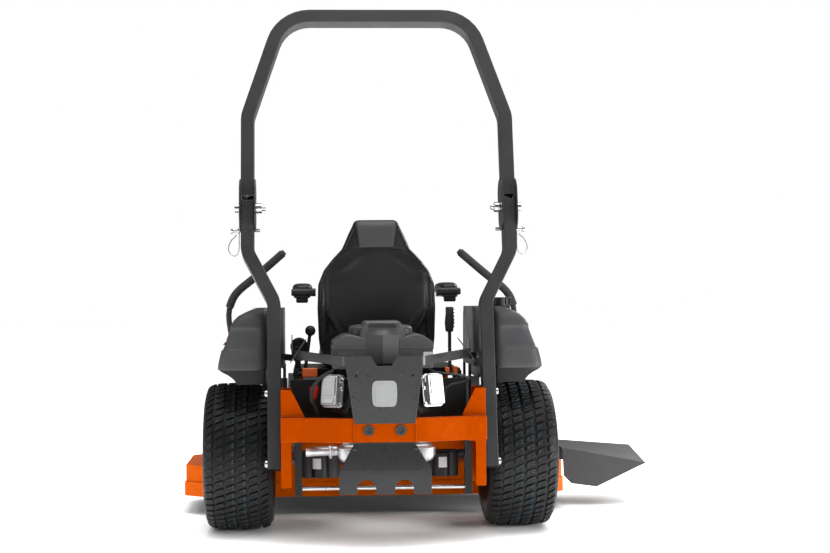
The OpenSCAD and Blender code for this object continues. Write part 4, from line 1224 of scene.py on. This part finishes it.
@dataclass
class Chassis:
    """Rails, bumper and guards, with the welds and marks on them."""

    front_y: float = -480.0
    guard_y: float = -484.0

    def weld(self, shell: Shell, path: Array, size: float = 4.0) -> None:
        """Adds a weld bead: a tube whose radius ripples as size * (1 + 0.22 sin 1.7 k + 0.08 sin 0.6 k).

        Args:
            shell: The shell that takes the bead.
            path: The bead's line, in millimetres.
            size: Its mean radius.
        """
        line = resample(path, max(12, int(np.linalg.norm(np.diff(path, axis=0), axis=1).sum() / 1.6)))
        ripple = size * (1 + 0.22 * np.sin(np.arange(len(line)) * 1.7) + 0.08 * np.sin(np.arange(len(line)) * 0.6))
        section = circle(1.0, 10)[None] * ripple[:, None, None]
        shell.grid(millimetres(capped(carried(line, section, (0.3, 0.9, 0.1)))))

    def beads(self) -> None:
        """Makes the welds on the bumper's face and at its ends."""
        shell = Shell()
        for side in SIDES:
            x = side * 112.0
            self.weld(shell, np.array([[x, -480.6, 381], [x, -481, 423], [x, -480.6, 465]]), 3.2)
            end = side * 345.0
            self.weld(shell, np.array([[end, -425, 380], [end, -425, 466]]), 3.6)
            top = [[side * 292, -404, 468], [side * 336, -403, 468], [side * 374, -402, 468]]
            self.weld(shell, np.array(top), 3.2)
        # The weld beads take the orange darkened as painted shade
        settle(shell.piece("weld_beads", [SHADED_ORANGE], 60.0), "frame", "orange_paint")

    def marks(self) -> None:
        """Makes the plain badge on the guard, its bent edges and its small screws."""
        y = self.guard_y
        badge = Shell()
        outer = rounded([[-42, 508], [42, 508], [46, 560], [42, 602], [-42, 602], [-46, 560]], 18, 7)
        inner = rounded([[-33, 518], [33, 518], [36, 560], [33, 592], [-33, 592], [-36, 560]], 14, 7)
        badge.plate(outer, y - 1.6, y + 1, 0.6)
        badge.plate(inner, y - 3.0, y - 1, 0.8)
        settle(badge.piece("plain_badge", [BADGE]), "frame", "grey_paint")
        trim = Shell()
        for side in SIDES:
            flange = np.array([[106, 467], [114, 467], [139, 655], [131, 655]], float) * [side, 1]
            trim.plate(flange, y - 2.4, y + 2, 0.8)
            for x, z in ((60, 620), (102, 620)):
                profile = [[y - 1.2, 5.2], [y - 1.2, 4.1], [y + 1, 4.1], [y + 1, 5.2], [y - 1.2, 5.2]]
                ring = turned(profile, [side * x, 0, z], 1, 18)
                trim.grid(millimetres(ring))
            slot = rectangle(104, 118, 352, 357, 2.4, 4) * [side, 1]
            trim.plate(slot, -497.5, -488, 0.5)
        settle(trim.piece("guard_trim", [GUARD]), "frame", "grey_paint")

    @staticmethod
    def in_bay_painted_shade(middle: Array) -> Array:
        """Which faces of the rails lie inside the engine bay, painted black there as painted shade."""
        return (middle[:, 1] > -0.3) & (middle[:, 1] < 0.3) & (middle[:, 2] > 0.4)

    @staticmethod
    def on_rod(middle: Array) -> Array:
        """Which faces of the rear straps belong to the plated cross rod."""
        return (np.abs(middle[:, 0]) < 0.2995) & (middle[:, 2] < 0.212)

    def wings(self) -> None:
        """Makes the upper guard, its arms swept ahead and up, and the thin stays at their ends.

        Past 145 mm from the middle each point moves ahead by 0.45 and up by 0.1 of its distance beyond.
        """
        guard = recast("upper_guard", 0.0008, [GUARD])
        points = mesh_points(guard)
        past = np.clip(np.abs(points[:, 0]) - 0.145, 0, None) * (points[:, 2] > 0.62)
        points[:, 1] += 0.45 * past
        points[:, 2] += 0.1 * past
        set_points(guard, points)
        stays = Shell()
        for side in SIDES:
            bends = [[side * 338, -398, 668], [side * 310, -368, 708], [side * 283, -335, 747]]
            line = resample(np.array(bends, float), 12)
            section = rectangle(-1.6, 1.6, -9, 9, 1.0, 3)
            stays.grid(millimetres(capped(carried(line, section, (0, 1, 0)))))
        settle(stays.piece("guard_stays", [GUARD]), "frame", "grey_paint")

    def build(self) -> None:
        """Makes the painted steelwork."""
        # Rails inside the engine bay take black paint as painted shade, the rest the orange darkened as painted shade
        recast(
            "frame_rails", 0.0015, [SHADED_ORANGE, BLACK_PAINT],
            chooser=lambda middle, normal: self.in_bay_painted_shade(middle).astype(int),
        )
        # A dark sheet across the engine bay, painted shade that hides the floor seen through the gap below the engine
        shade_sheet = Shell()
        back = rectangle(-346, 346, 396, 584, 12, 4)
        shade_sheet.plate(back, -32, -27, 1)
        settle(shade_sheet.piece("bay_shroud", [BLACK]), "frame", "black_plastic")
        recast("front_beam", 0.002)
        # The bumper takes the orange darkened as painted shade
        recast("rear_bumper", 0.0035, [SHADED_ORANGE], segments=3)
        recast("bumper_plugs", 0.0015)
        self.wings()
        # The guard's lower lip, below 279 mm, takes the lighter grey as painted light from above; the face above it
        # takes the dark guard finish
        recast("lower_guard", 0.0012, [GUARD, GREY], chooser=lambda m, n: (m[:, 2] < 0.279).astype(int))
        self.beads()
        self.marks()
        recast("rear_straps", 0.001, [BLACK_PAINT, STEEL], chooser=lambda m, n: self.on_rod(m).astype(int))
        recast("hydro_drives", 0.002, [DARK_ALLOY])
        bands, cans = Shell(), Shell()
        for side in SIDES:
            turn = np.radians(np.linspace(-150, -85, 16) if side < 0 else np.linspace(-110, -52, 16))[:, None]
            radius, level = np.array([[31.0, 33.8, 33.8, 31.0]]), np.array([[250.0, 250.0, 290.0, 290.0]])
            patch = np.stack([
                side * 232 + radius * np.cos(turn), -150 + radius * np.sin(turn), np.broadcast_to(level, (16, 4)),
            ], axis=-1)
            bands.grid(millimetres(capped(patch)))
            for z in (216.0, 296.0):
                ring = np.array([[z, 30], [z, 34.5], [z + 7, 34.5], [z + 7, 30], [z, 30]])
                cans.lathe(ring, [side * 232, -150, 0], 2, 40)
            can = np.array([[222, 0], [222, 33.2], [298, 33.2], [298, 0]])
            cans.lathe(can, [side * 232, -150, 0], 2, 40)
        settle(bands.piece("filter_labels", [LABEL]), "frame", "cast_alloy")
        settle(cans.piece("filter_cans", [BLACK_PAINT], 30.0), "frame", "cast_alloy")


@dataclass
class Engine:
    """Engine block, valve covers, cowl and muffler."""

    middle_y: float = -250.0
    plate_z: float = 391.0

    def cowl(self) -> None:
        """Makes the engine's cover: gabled shoulders, a creased cowl with its lip, and the fan drum."""
        shell = Shell()
        shoulder = np.array([[60, 640], [186, 640], [186, 738], [150, 762], [122, 767], [60, 752]], float)
        for side in SIDES:
            shape = rounded(shoulder * [side, 1], 7, 4)
            shell.plate(shape, -372, -50, 4)
            lip = rectangle(58, 189, 712, 719, 2.5, 3) * [side, 1]
            shell.plate(lip, -375, -46, 1.5)
            vent = rectangle(104, 168, 660, 700, 6, 4) * [side, 1]
            shell.plate(vent, -374.5, -360, 2)
        half = np.array([[-86, 655], [-90, 740], [-72, 803], [-64, 815]], float)
        face = np.concatenate([half, half[::-1] * [-1, 1]])
        shell.plate(rounded(face, 8, 5), -366, -140, 7)
        # The ridge down the cowl's rear face: a wedge that stands out most at its middle
        u, v = np.meshgrid(np.linspace(-1, 1, 31), np.linspace(0, 1, 13))
        wide, z = 66 + 16 * (1 - v), 662 + v * 122
        out = 24 * (1 - np.abs(u)) * np.minimum(1, (1 - v) * 5 + 0.1)
        ridge = Shell().grid(millimetres(np.stack([u * wide, -366 - out, z], axis=-1)), wrap=False)
        settle(ridge.piece("cowl_ridge", [PLASTIC], 8.0), "frame", "grey_plastic")
        drum = turned([[587, 0], [587, 104], [590, 109], [650, 109]], [0, self.middle_y, 0], 2, 56)
        shell.grid(millimetres(drum))
        shell.grid(millimetres(pillow((0, -180, 766), (120, 128, 34), 0.4, 0.35, 18, 48)))
        made = shell.piece("engine_cowl", [PLASTIC], 34.0)
        settle(made, "frame", "grey_plastic", "engine_cover")
        # A plain dark name plate, left blank
        plate = rounded([[-52, 790], [52, 790], [46, 806], [-46, 806]], 4, 4)
        badge = Shell().plate(plate, -369.5, -360, 0.8)
        settle(badge.piece("cowl_plate", [BLACK]), "frame", "black_plastic")
        sticker = rectangle(150, 184, 668, 700, 2, 3)
        paper = Shell().plate(sticker, -377, -370, 0.3).piece("blank_sticker", [LABEL])
        settle(paper, "frame", "grey_plastic")

    def head_frame(self, grid: Array, side: float) -> Array:
        """Moves points from a valve cover's own axes to the machine's: turned by 80 about Y, then -64 about Z.

        Args:
            grid: Points in the cover's own axes, in millimetres.
            side: -1 for the left cover and 1 for the right.

        Returns:
            The points in metres.
        """
        a, b = math.radians(80), math.radians(-64)
        turn_y = np.array([[math.cos(a), 0, math.sin(a)], [0, 1, 0], [-math.sin(a), 0, math.cos(a)]])
        turn_z = np.array([[math.cos(b), -math.sin(b), 0], [math.sin(b), math.cos(b), 0], [0, 0, 1]])
        placed = grid @ (turn_z @ turn_y).T + np.array([137.0, self.middle_y + 2, self.plate_z + 148])
        return mirrored(millimetres(placed), side)

    def valve_cover(self, side: float) -> None:
        """Makes one cast valve cover: flange, drafted box, ribbed panels and screws.

        Args:
            side: -1 for the left cover and 1 for the right.
        """
        cast = Shell()
        blocks = [
            (-62, 62, -42, 42, 14, 104.3, 110, 1.2), (-56, 56, -28, 38, 10, 109, 132, 3),
            (-48, 20, -20, 30, 8, 131, 136, 2), (28, 50, -16, 32, 6, 131, 135, 2),
            *((-42 + 10 * k, -38 + 10 * k, -14, 24, 1.5, 135.5, 137.6, 0.8) for k in range(6)),
            (-60, -30, -36, -26, 4, 109, 122, 2),
        ]
        for x0, x1, y0, y1, radius, low, high, edge in blocks:
            cast.grid(self.head_frame(slab(rectangle(x0, x1, y0, y1, radius, 5), low, high, edge), side))
        made = cast.piece(f"valve_cover_{SIDE_NAME[side]}", [ALLOY], 32.0)
        settle(made, "frame", "cast_alloy", "valve_covers")
        screws = Shell()
        for x in (-50, -8, 50):
            head = [
                [108, 0], [110, 9], [112, 9], [112, 6.5], [118, 6.5], [119, 5], [119, 3], [116, 3], [116, 0],
            ]
            screws.grid(self.head_frame(turned(head, [x, -35, 0], 2, 18), side))
        settle(screws.piece(f"valve_screws_{SIDE_NAME[side]}", [STEEL], 30.0), "frame", "bright_steel")

    def exhaust(self) -> None:
        """Makes the muffler: a pressed drum with its crimped seam, tail pipe and clamp."""
        x = np.concatenate([[-172, -171, -166, -156, -140], np.linspace(-120, 138, 20), [158, 174, 184, 189, 190]])
        edge = np.minimum(x + 172, 190 - x)
        full = np.clip(edge / 34.0, 0, 1)
        scale = np.sqrt(np.clip(1 - (1 - full) ** 2, 0.02, 1))
        v = np.linspace(0, 2 * np.pi, 56, endpoint=False)[None, :]
        y = -400 + 50 * scale[:, None] * power(np.cos(v), 0.6)
        z = 336 + 35 * scale[:, None] * power(np.sin(v), 0.6)
        drum = capped(np.stack([np.broadcast_to(x[:, None], y.shape), y, z], axis=-1))
        shell = Shell().grid(millimetres(drum))
        rim = rectangle(-170, 188, -453, -347, 30, 7)
        shell.grid(millimetres(slab(rim, 352, 356, 1.2)))
        for x0 in (-60.0, 60.0):
            rib = [[x0 - 5, 0], [x0 - 4, 30], [x0, 38.0], [x0 + 4, 30], [x0 + 5, 0]]
            shell.lathe(np.array(rib), [0, -400, 334.5], 0, 40)
        for side in SIDES:
            strap = rectangle(120, 150, -420, -380, 3, 3) * [side, 1]
            shell.grid(millimetres(slab(strap, 366, 385, 1)))
        settle(shell.piece("muffler_drum", [ALUMINISED], 38.0), "frame", "bright_steel", "muffler")
        pipe = Shell()
        tube = np.array([
            [-171, 15.5], [-285, 15.5], [-285, 17.5], [-262, 17.6], [-258, 18.4], [-254, 17.6], [-204, 17.6],
            [-204, 20], [-201, 21], [-189, 21], [-186, 20], [-186, 17.6], [-171, 17.6],
        ])
        round_pipe = turned(tube, [0, -400, 343], 0, 32)
        round_pipe[..., 1] -= 0.42 * np.clip(-215 - round_pipe[..., 0], 0, None)
        pipe.grid(millimetres(round_pipe))
        bolt = np.array([[318, 0], [318, 5], [322, 5], [322, 3], [358, 3], [358, 6], [363, 6], [363, 0]])
        pipe.lathe(bolt, [-195, -422, 0], 2, 12)
        settle(pipe.piece("tail_pipe", [ALUMINISED], 30.0), "frame", "bright_steel")

    def build(self) -> None:
        """Makes the engine's pieces."""
        recast("engine_block", 0.002, [DARK_ALLOY])
        self.cowl()
        for side in SIDES:
            self.valve_cover(side)
        self.exhaust()
        recast("crank_pulley", 0.001)


@dataclass
class CutterDeck:
    """The deck with its blades, belt, covers and chute."""

    @staticmethod
    def painted_shade_inside(middle: Array, normal: Array) -> Array:
        """Which faces of the deck's inside are painted dark as painted shade: those that face down, or towards its
        middle.
        """
        inward = middle[:, 0] * normal[:, 0] + (middle[:, 1] - 0.67) * normal[:, 1] < -0.02
        return (normal[:, 2] < -0.5) | (inward & (np.abs(normal[:, 2]) < 0.5) & (middle[:, 2] < 0.2))

    def build(self) -> None:
        """Makes the deck's pieces."""
        # The deck's inside takes the dark cast finish as painted shade under the deck
        recast(
            "deck_shell", 0.002, [ORANGE, DARK_ALLOY],
            chooser=lambda middle, normal: self.painted_shade_inside(middle, normal).astype(int),
        )
        recast("spindle_housings", 0.0015)
        recast("belt_covers", 0.003)
        recast("deck_belt", 0.0008)
        recast("discharge_chute", 0.0015, [CHUTE])
        for place in ("left", "middle", "right"):
            recast(f"blade_{place}", 0.0006, [BLADE])
        for side in ("left", "right"):
            recast(f"anti_scalp_{side}", 0.0015)


# --- Seat and controls -------------------------------------------------------


@dataclass
class Seat:
    """The seat: pan, cushion, back with its sewn head panel, and arm rests."""

    half: float = 243.0
    back_y: float = 100.0
    # Height, half width and half depth of the back, from its foot up
    profile: tuple[tuple[float, float, float], ...] = (
        (619, 150, 20), (622, 188, 32), (640, 214, 40), (690, 232, 45), (740, 238, 46), (860, 242, 47), (958, 238, 46),
        (1014, 215, 43), (1060, 179, 40), (1100, 141, 37), (1160, 114, 33), (1195, 96, 29), (1211, 88, 22),
        (1217, 80, 12), (1218.5, 70, 4),
    )

    def back_surface(self) -> Array:
        """The back as rows of rounded sections: x = w c^0.38, y = middle + d s^0.62, w and d by height.

        Returns:
            A closed grid of points, in millimetres.
        """
        profile = np.array(self.profile)
        reach = np.concatenate([[0], np.cumsum(np.linalg.norm(np.diff(profile[:, :2], axis=0), axis=1))])
        at = np.linspace(0, reach[-1], 110)
        z, w, d = (np.interp(at, reach, profile[:, k]) for k in range(3))
        v = np.linspace(0, 2 * np.pi, 120, endpoint=False)[None, :]
        x = w[:, None] * power(np.cos(v), 0.38)
        y = self.back_y + d[:, None] * power(np.sin(v), 0.62)
        grid = np.stack([x, y, np.broadcast_to(z[:, None], x.shape)], axis=-1)
        return capped(grid)

    @staticmethod
    def fold(points: Array, start: Sequence[float], end: Sequence[float], wide: float, deep: float) -> Array:
        """Height of one fold of the cover: a bell across the line from start to end, fading at both ends.

        Args:
            points: Points in millimetres.
            start: Where the fold starts, as (x, z).
            end: Where it ends, as (x, z).
            wide: Half its width.
            deep: How far it stands out.

        Returns:
            How far each point moves.
        """
        a, b = np.array(start), np.array(end)
        line = b - a
        long = float(np.hypot(*line))
        off = points[:, [0, 2]] - a
        share = np.clip(off @ line / long**2, 0, 1)
        gap = np.linalg.norm(off - share[:, None] * line, axis=1)
        ends = np.sin(np.pi * np.clip(off @ line / long**2 * 0.8 + 0.1, 0, 1))
        return deep * np.exp(-((gap / wide) ** 2)) * ends

    def creased(self, piece: bpy.types.Object) -> None:
        """Presses the cover's folds and its stretched hollow into the rear of the back.

        Args:
            piece: The seat back's cover.
        """
        points = mesh_points(piece) * 1000
        rear = np.clip((self.back_y - points[:, 1]) / 30, 0, 1)
        bend = np.zeros(len(points))
        for side in SIDES:
            bend += self.fold(points, (side * 205, 860), (side * 128, 730), 9, 15)
            bend -= self.fold(points, (side * 186, 850), (side * 108, 735), 10, 9)
            bend += self.fold(points, (side * 214, 1010), (side * 222, 700), 8, 8)
            bend -= self.fold(points, (side * 205, 990), (side * 206, 700), 9, 8)
            bend += self.fold(points, (side * 180, 760), (side * 226, 715), 7, 10)
            bend += self.fold(points, (side * 150, 1010), (side * 60, 1075), 14, 4)
        hollow = 5 * np.exp(-(((points[:, 0]) / 130) ** 2) - ((points[:, 2] - 900) / 130) ** 2)
        seam = 3 * np.exp(-(((points[:, 2] - self.seam_height(points[:, 0])) / 5) ** 2)) * (np.abs(points[:, 0]) < 225)
        points[:, 1] -= rear * (bend - hollow - seam)
        set_points(piece, points / 1000)

    @staticmethod
    def seam_height(x: Array) -> Array:
        """Height of the arched seam under the head rest: 1100 less a curve that drops to the sides."""
        return 1101.0 - 4.0 * (np.abs(x) / 70.0) - 90.0 * np.clip((np.abs(x) - 90.0) / 140.0, 0, 1) ** 1.6

    def sewn(self, back: bpy.types.Object) -> None:
        """Lays the grey head panel and the piping on the back.

        Args:
            back: The seat back's cover, folds and all.
        """
        u, v = np.meshgrid(np.linspace(-1, 1, 25), np.linspace(0, 1, 25))
        wide = 67 + 15 * v
        panel = np.stack([u * wide, np.full_like(u, 20.0), 1103 + v * 103], axis=-1)
        skin = laid_on(millimetres(panel), back, 0.0012)
        made = Shell().grid(skin, wrap=False).piece("head_panel", [VINYL_GREY])
        wall = made.modifiers.new("thickness", "SOLIDIFY")
        wall.thickness, wall.offset = 0.002, 0.0
        settle(made, "seat", "vinyl")
        x = np.linspace(-186, 186, 91)
        arch = np.stack([x, np.full_like(x, 20.0), self.seam_height(x)], axis=1)
        seams = Shell()
        seams.grid(piping(laid_on(millimetres(arch), back, 0.0006), 0.0016))
        for side in SIDES:
            edge = np.stack([side * np.linspace(68, 83, 30), np.full(30, 20.0), np.linspace(1103, 1206, 30)], axis=1)
            seams.grid(piping(laid_on(millimetres(edge), back, 0.0016), 0.0014))
        z = np.linspace(650, 1180, 90)
        profile = np.array(self.profile)
        for side in SIDES:
            rim = np.stack([side * (np.interp(z, profile[:, 0], profile[:, 1]) - 16), np.full(90, 20.0), z], axis=1)
            seams.grid(piping(laid_on(millimetres(rim), back, 0.0012), 0.0028))
        settle(seams.piece("seat_piping", [VINYL]), "seat", "vinyl")

    def build(self) -> None:
        """Makes the seat's pieces."""
        recast("seat_base", 0.0015)
        crowned = pillow((0, 391, 662), (236, 232, 43), 0.34, 0.45, 44, 96)
        cushion = Shell().grid(millimetres(crowned)).piece("cushion", [VINYL])
        points = mesh_points(cushion) * 1000
        dip = 12 * np.exp(-((points[:, 0] / 130) ** 2) - ((points[:, 1] - 380) / 150) ** 2) * (points[:, 2] > 670)
        set_points(cushion, (points - np.stack([0 * dip, 0 * dip, dip], axis=1)) / 1000)
        inflate(cushion, 0.007, 0.006)
        settle(cushion, "seat", "vinyl", "seat_cushion")
        back = Shell().grid(millimetres(self.back_surface())).piece("seat_back_cover", [VINYL], 70.0)
        inflate(back, 0.006, 0.005)
        self.creased(back)
        self.sewn(back)
        settle(back, "seat", "vinyl", "seat_back")
        for side in SIDES:
            self.arm(side)

    def arm(self, side: float) -> None:
        """Makes one arm rest: a crowned pad, its pan, its adjuster and the rod it turns on.

        Args:
            side: -1 for the left arm and 1 for the right.
        """
        label = SIDE_NAME[side]
        pad = Shell().grid(mirrored(millimetres(pillow((297, 275, 936), (41, 143, 27), 0.5, 0.6, 26, 64)), side))
        cushion = pad.piece(f"arm_pad_{label}", [VINYL])
        settle(cushion, f"arm_{label}", "vinyl", f"armrest_{label}")
        pan = slab(rectangle(264, 332, 126, 400, 14), 904, 914, 2)
        heel = slab(rectangle(268, 330, 108, 150, 8), 902, 940, 3)
        knob = turned([[274, 0], [274, 9], [278, 13], [318, 13], [322, 9], [322, 0]], [0, 122, 896], 0, 20)
        steel = [[243, 0], [243, 16], [262, 16], [264, 14], [338, 14], [341, 11], [341, 0]]
        rod = turned(steel, [0, 110, 925], 0, 28)
        metal = Shell()
        for grid in (pan, heel, knob, rod):
            metal.grid(mirrored(millimetres(grid), side))
        made = metal.piece(f"arm_bracket_{label}", [BLACK_PAINT], 35.0)
        settle(made, f"arm_{label}", "seat_frame")


@dataclass
class Controls:
    """Drive levers and the small controls."""

    grip: tuple[tuple[float, float], ...] = ((613, 862), (588, 926), (492, 1000), (379, 1098))

    def foam(self, side: float) -> None:
        """Makes a lever's foam sleeve: a tube whose radius closes round at both ends, 12.4 + 4.8 (1 - (1 - d/7)^2)^0.5.

        Args:
            side: -1 for the left lever and 1 for the right.
        """
        flat = resample(rounded(np.array(self.grip, float), 52, 9, closed=False), 70)
        path = np.stack([flat[:, 0], np.full(len(flat), 500.0), flat[:, 1]], axis=1)
        reach = np.concatenate([[0], np.cumsum(np.linalg.norm(np.diff(path, axis=0), axis=1))])
        gap = np.minimum(np.minimum(reach, reach[-1] - reach) / 7, 1.0)
        radius = 12.4 + 4.8 * np.sqrt(1 - (1 - gap) ** 2)
        tube = capped(carried(path, circle(1.0, 28)[None] * radius[:, None, None], (0, 1, 0)))
        made = Shell().grid(mirrored(millimetres(tube), side)).piece(f"lever_foam_{SIDE_NAME[side]}", [FOAM], 60.0)
        settle(made, f"lap_bar_{SIDE_NAME[side]}", "grip_foam")

    def brake_grip(self) -> None:
        """Makes the ribbed hand grip at the brake lever's top."""
        grip, ribs = Shell(), Shell()
        outline = rounded([[275, 762], [303, 762], [308, 800], [304, 862], [279, 862], [272, 800]], 8, 5)
        grip.plate(outline, 40, 80, 7)
        settle(grip.piece("brake_grip", [RUBBER], 50.0), "brake", "black_plastic")
        for k in range(6):
            z = 778 + 14 * k
            rib = rounded([[296, z], [309, z + 4], [309, z + 8], [296, z + 4]], 1.6, 3)
            ribs.plate(rib, 37, 60, 1.5)
        settle(ribs.piece("brake_grip_ribs", [GREY], 50.0), "brake", "black_plastic")

    def fittings(self) -> None:
        """Makes the belt's round housing and the coloured parts in the engine bay."""
        disc = turned(
            np.array([[176, 0], [176, 20], [173, 23], [173, 30], [178, 36], [204, 36], [208, 32], [208, 0]]),
            np.array([-312, 0, 706]), 1, 40,
        )
        settle(Shell().grid(millimetres(disc)).piece("belt_housing", [BLACK], 30.0), "seat", "seat_frame")
        blocks = Shell()
        for x0, x1, z0, z1 in ((-297, -240, 604, 636), (246, 262, 612, 634), (276, 294, 606, 638)):
            shape = rectangle(x0, x1, z0, z1, 3, 3)
            blocks.plate(shape, -212, -180, 2)
        settle(blocks.piece("bay_blocks", [ORANGE_PLASTIC]), "frame", "orange_plastic")
        boots = Shell()
        for x, z, lean in ((-262, 557, 0.25), (-244, 560, -0.2)):
            bends = [[0, -300, 16], [6 * lean, -302, 0], [20 * lean, -304, -20], [44 * lean, -304, -38]]
            line = np.array(bends) + [x, 0, z]
            size = np.array([6.5, 9.0, 7.5, 3.0])
            boots.grid(millimetres(capped(carried(line, circle(1.0, 18)[None] * size[:, None, None], (0, 1, 0)))))
        settle(boots.piece("cable_boots", [WIRE_RED], 60.0), "frame", "black_rubber")

    def build(self) -> None:
        """Makes each lever, knob and key."""
        for side in SIDES:
            self.foam(side)
        self.brake_grip()
        self.fittings()
        for side in ("left", "right"):
            recast(f"lever_pivot_{side}", 0.001)
            recast(f"lever_{side}", 0.0006)
        for node in ("brake_lever", "height_lever", "throttle_lever", "ignition_key", "blade_switch", "lift_pedal"):
            recast(node, 0.0008)


def main() -> None:
    """Builds the camera and the cords, then every sub-assembly."""
    logging.basicConfig(level=logging.INFO, format="%(message)s")
    studio = Studio()
    studio.camera()
    bar = RollBar()
    bar.lanyards()
    studio.light()
    studio.floor()
    others = (DriveWheels, Casters, Fenders, Bodywork, Chassis, Engine, CutterDeck, Seat, Controls)
    for assembly in (bar, *(kind() for kind in others)):
        assembly.build()
    studio.shade("drive_tyre_left", "drive_tyre_right", "caster_tyre_left", "caster_tyre_right")


if __name__ == "__main__":
    main()
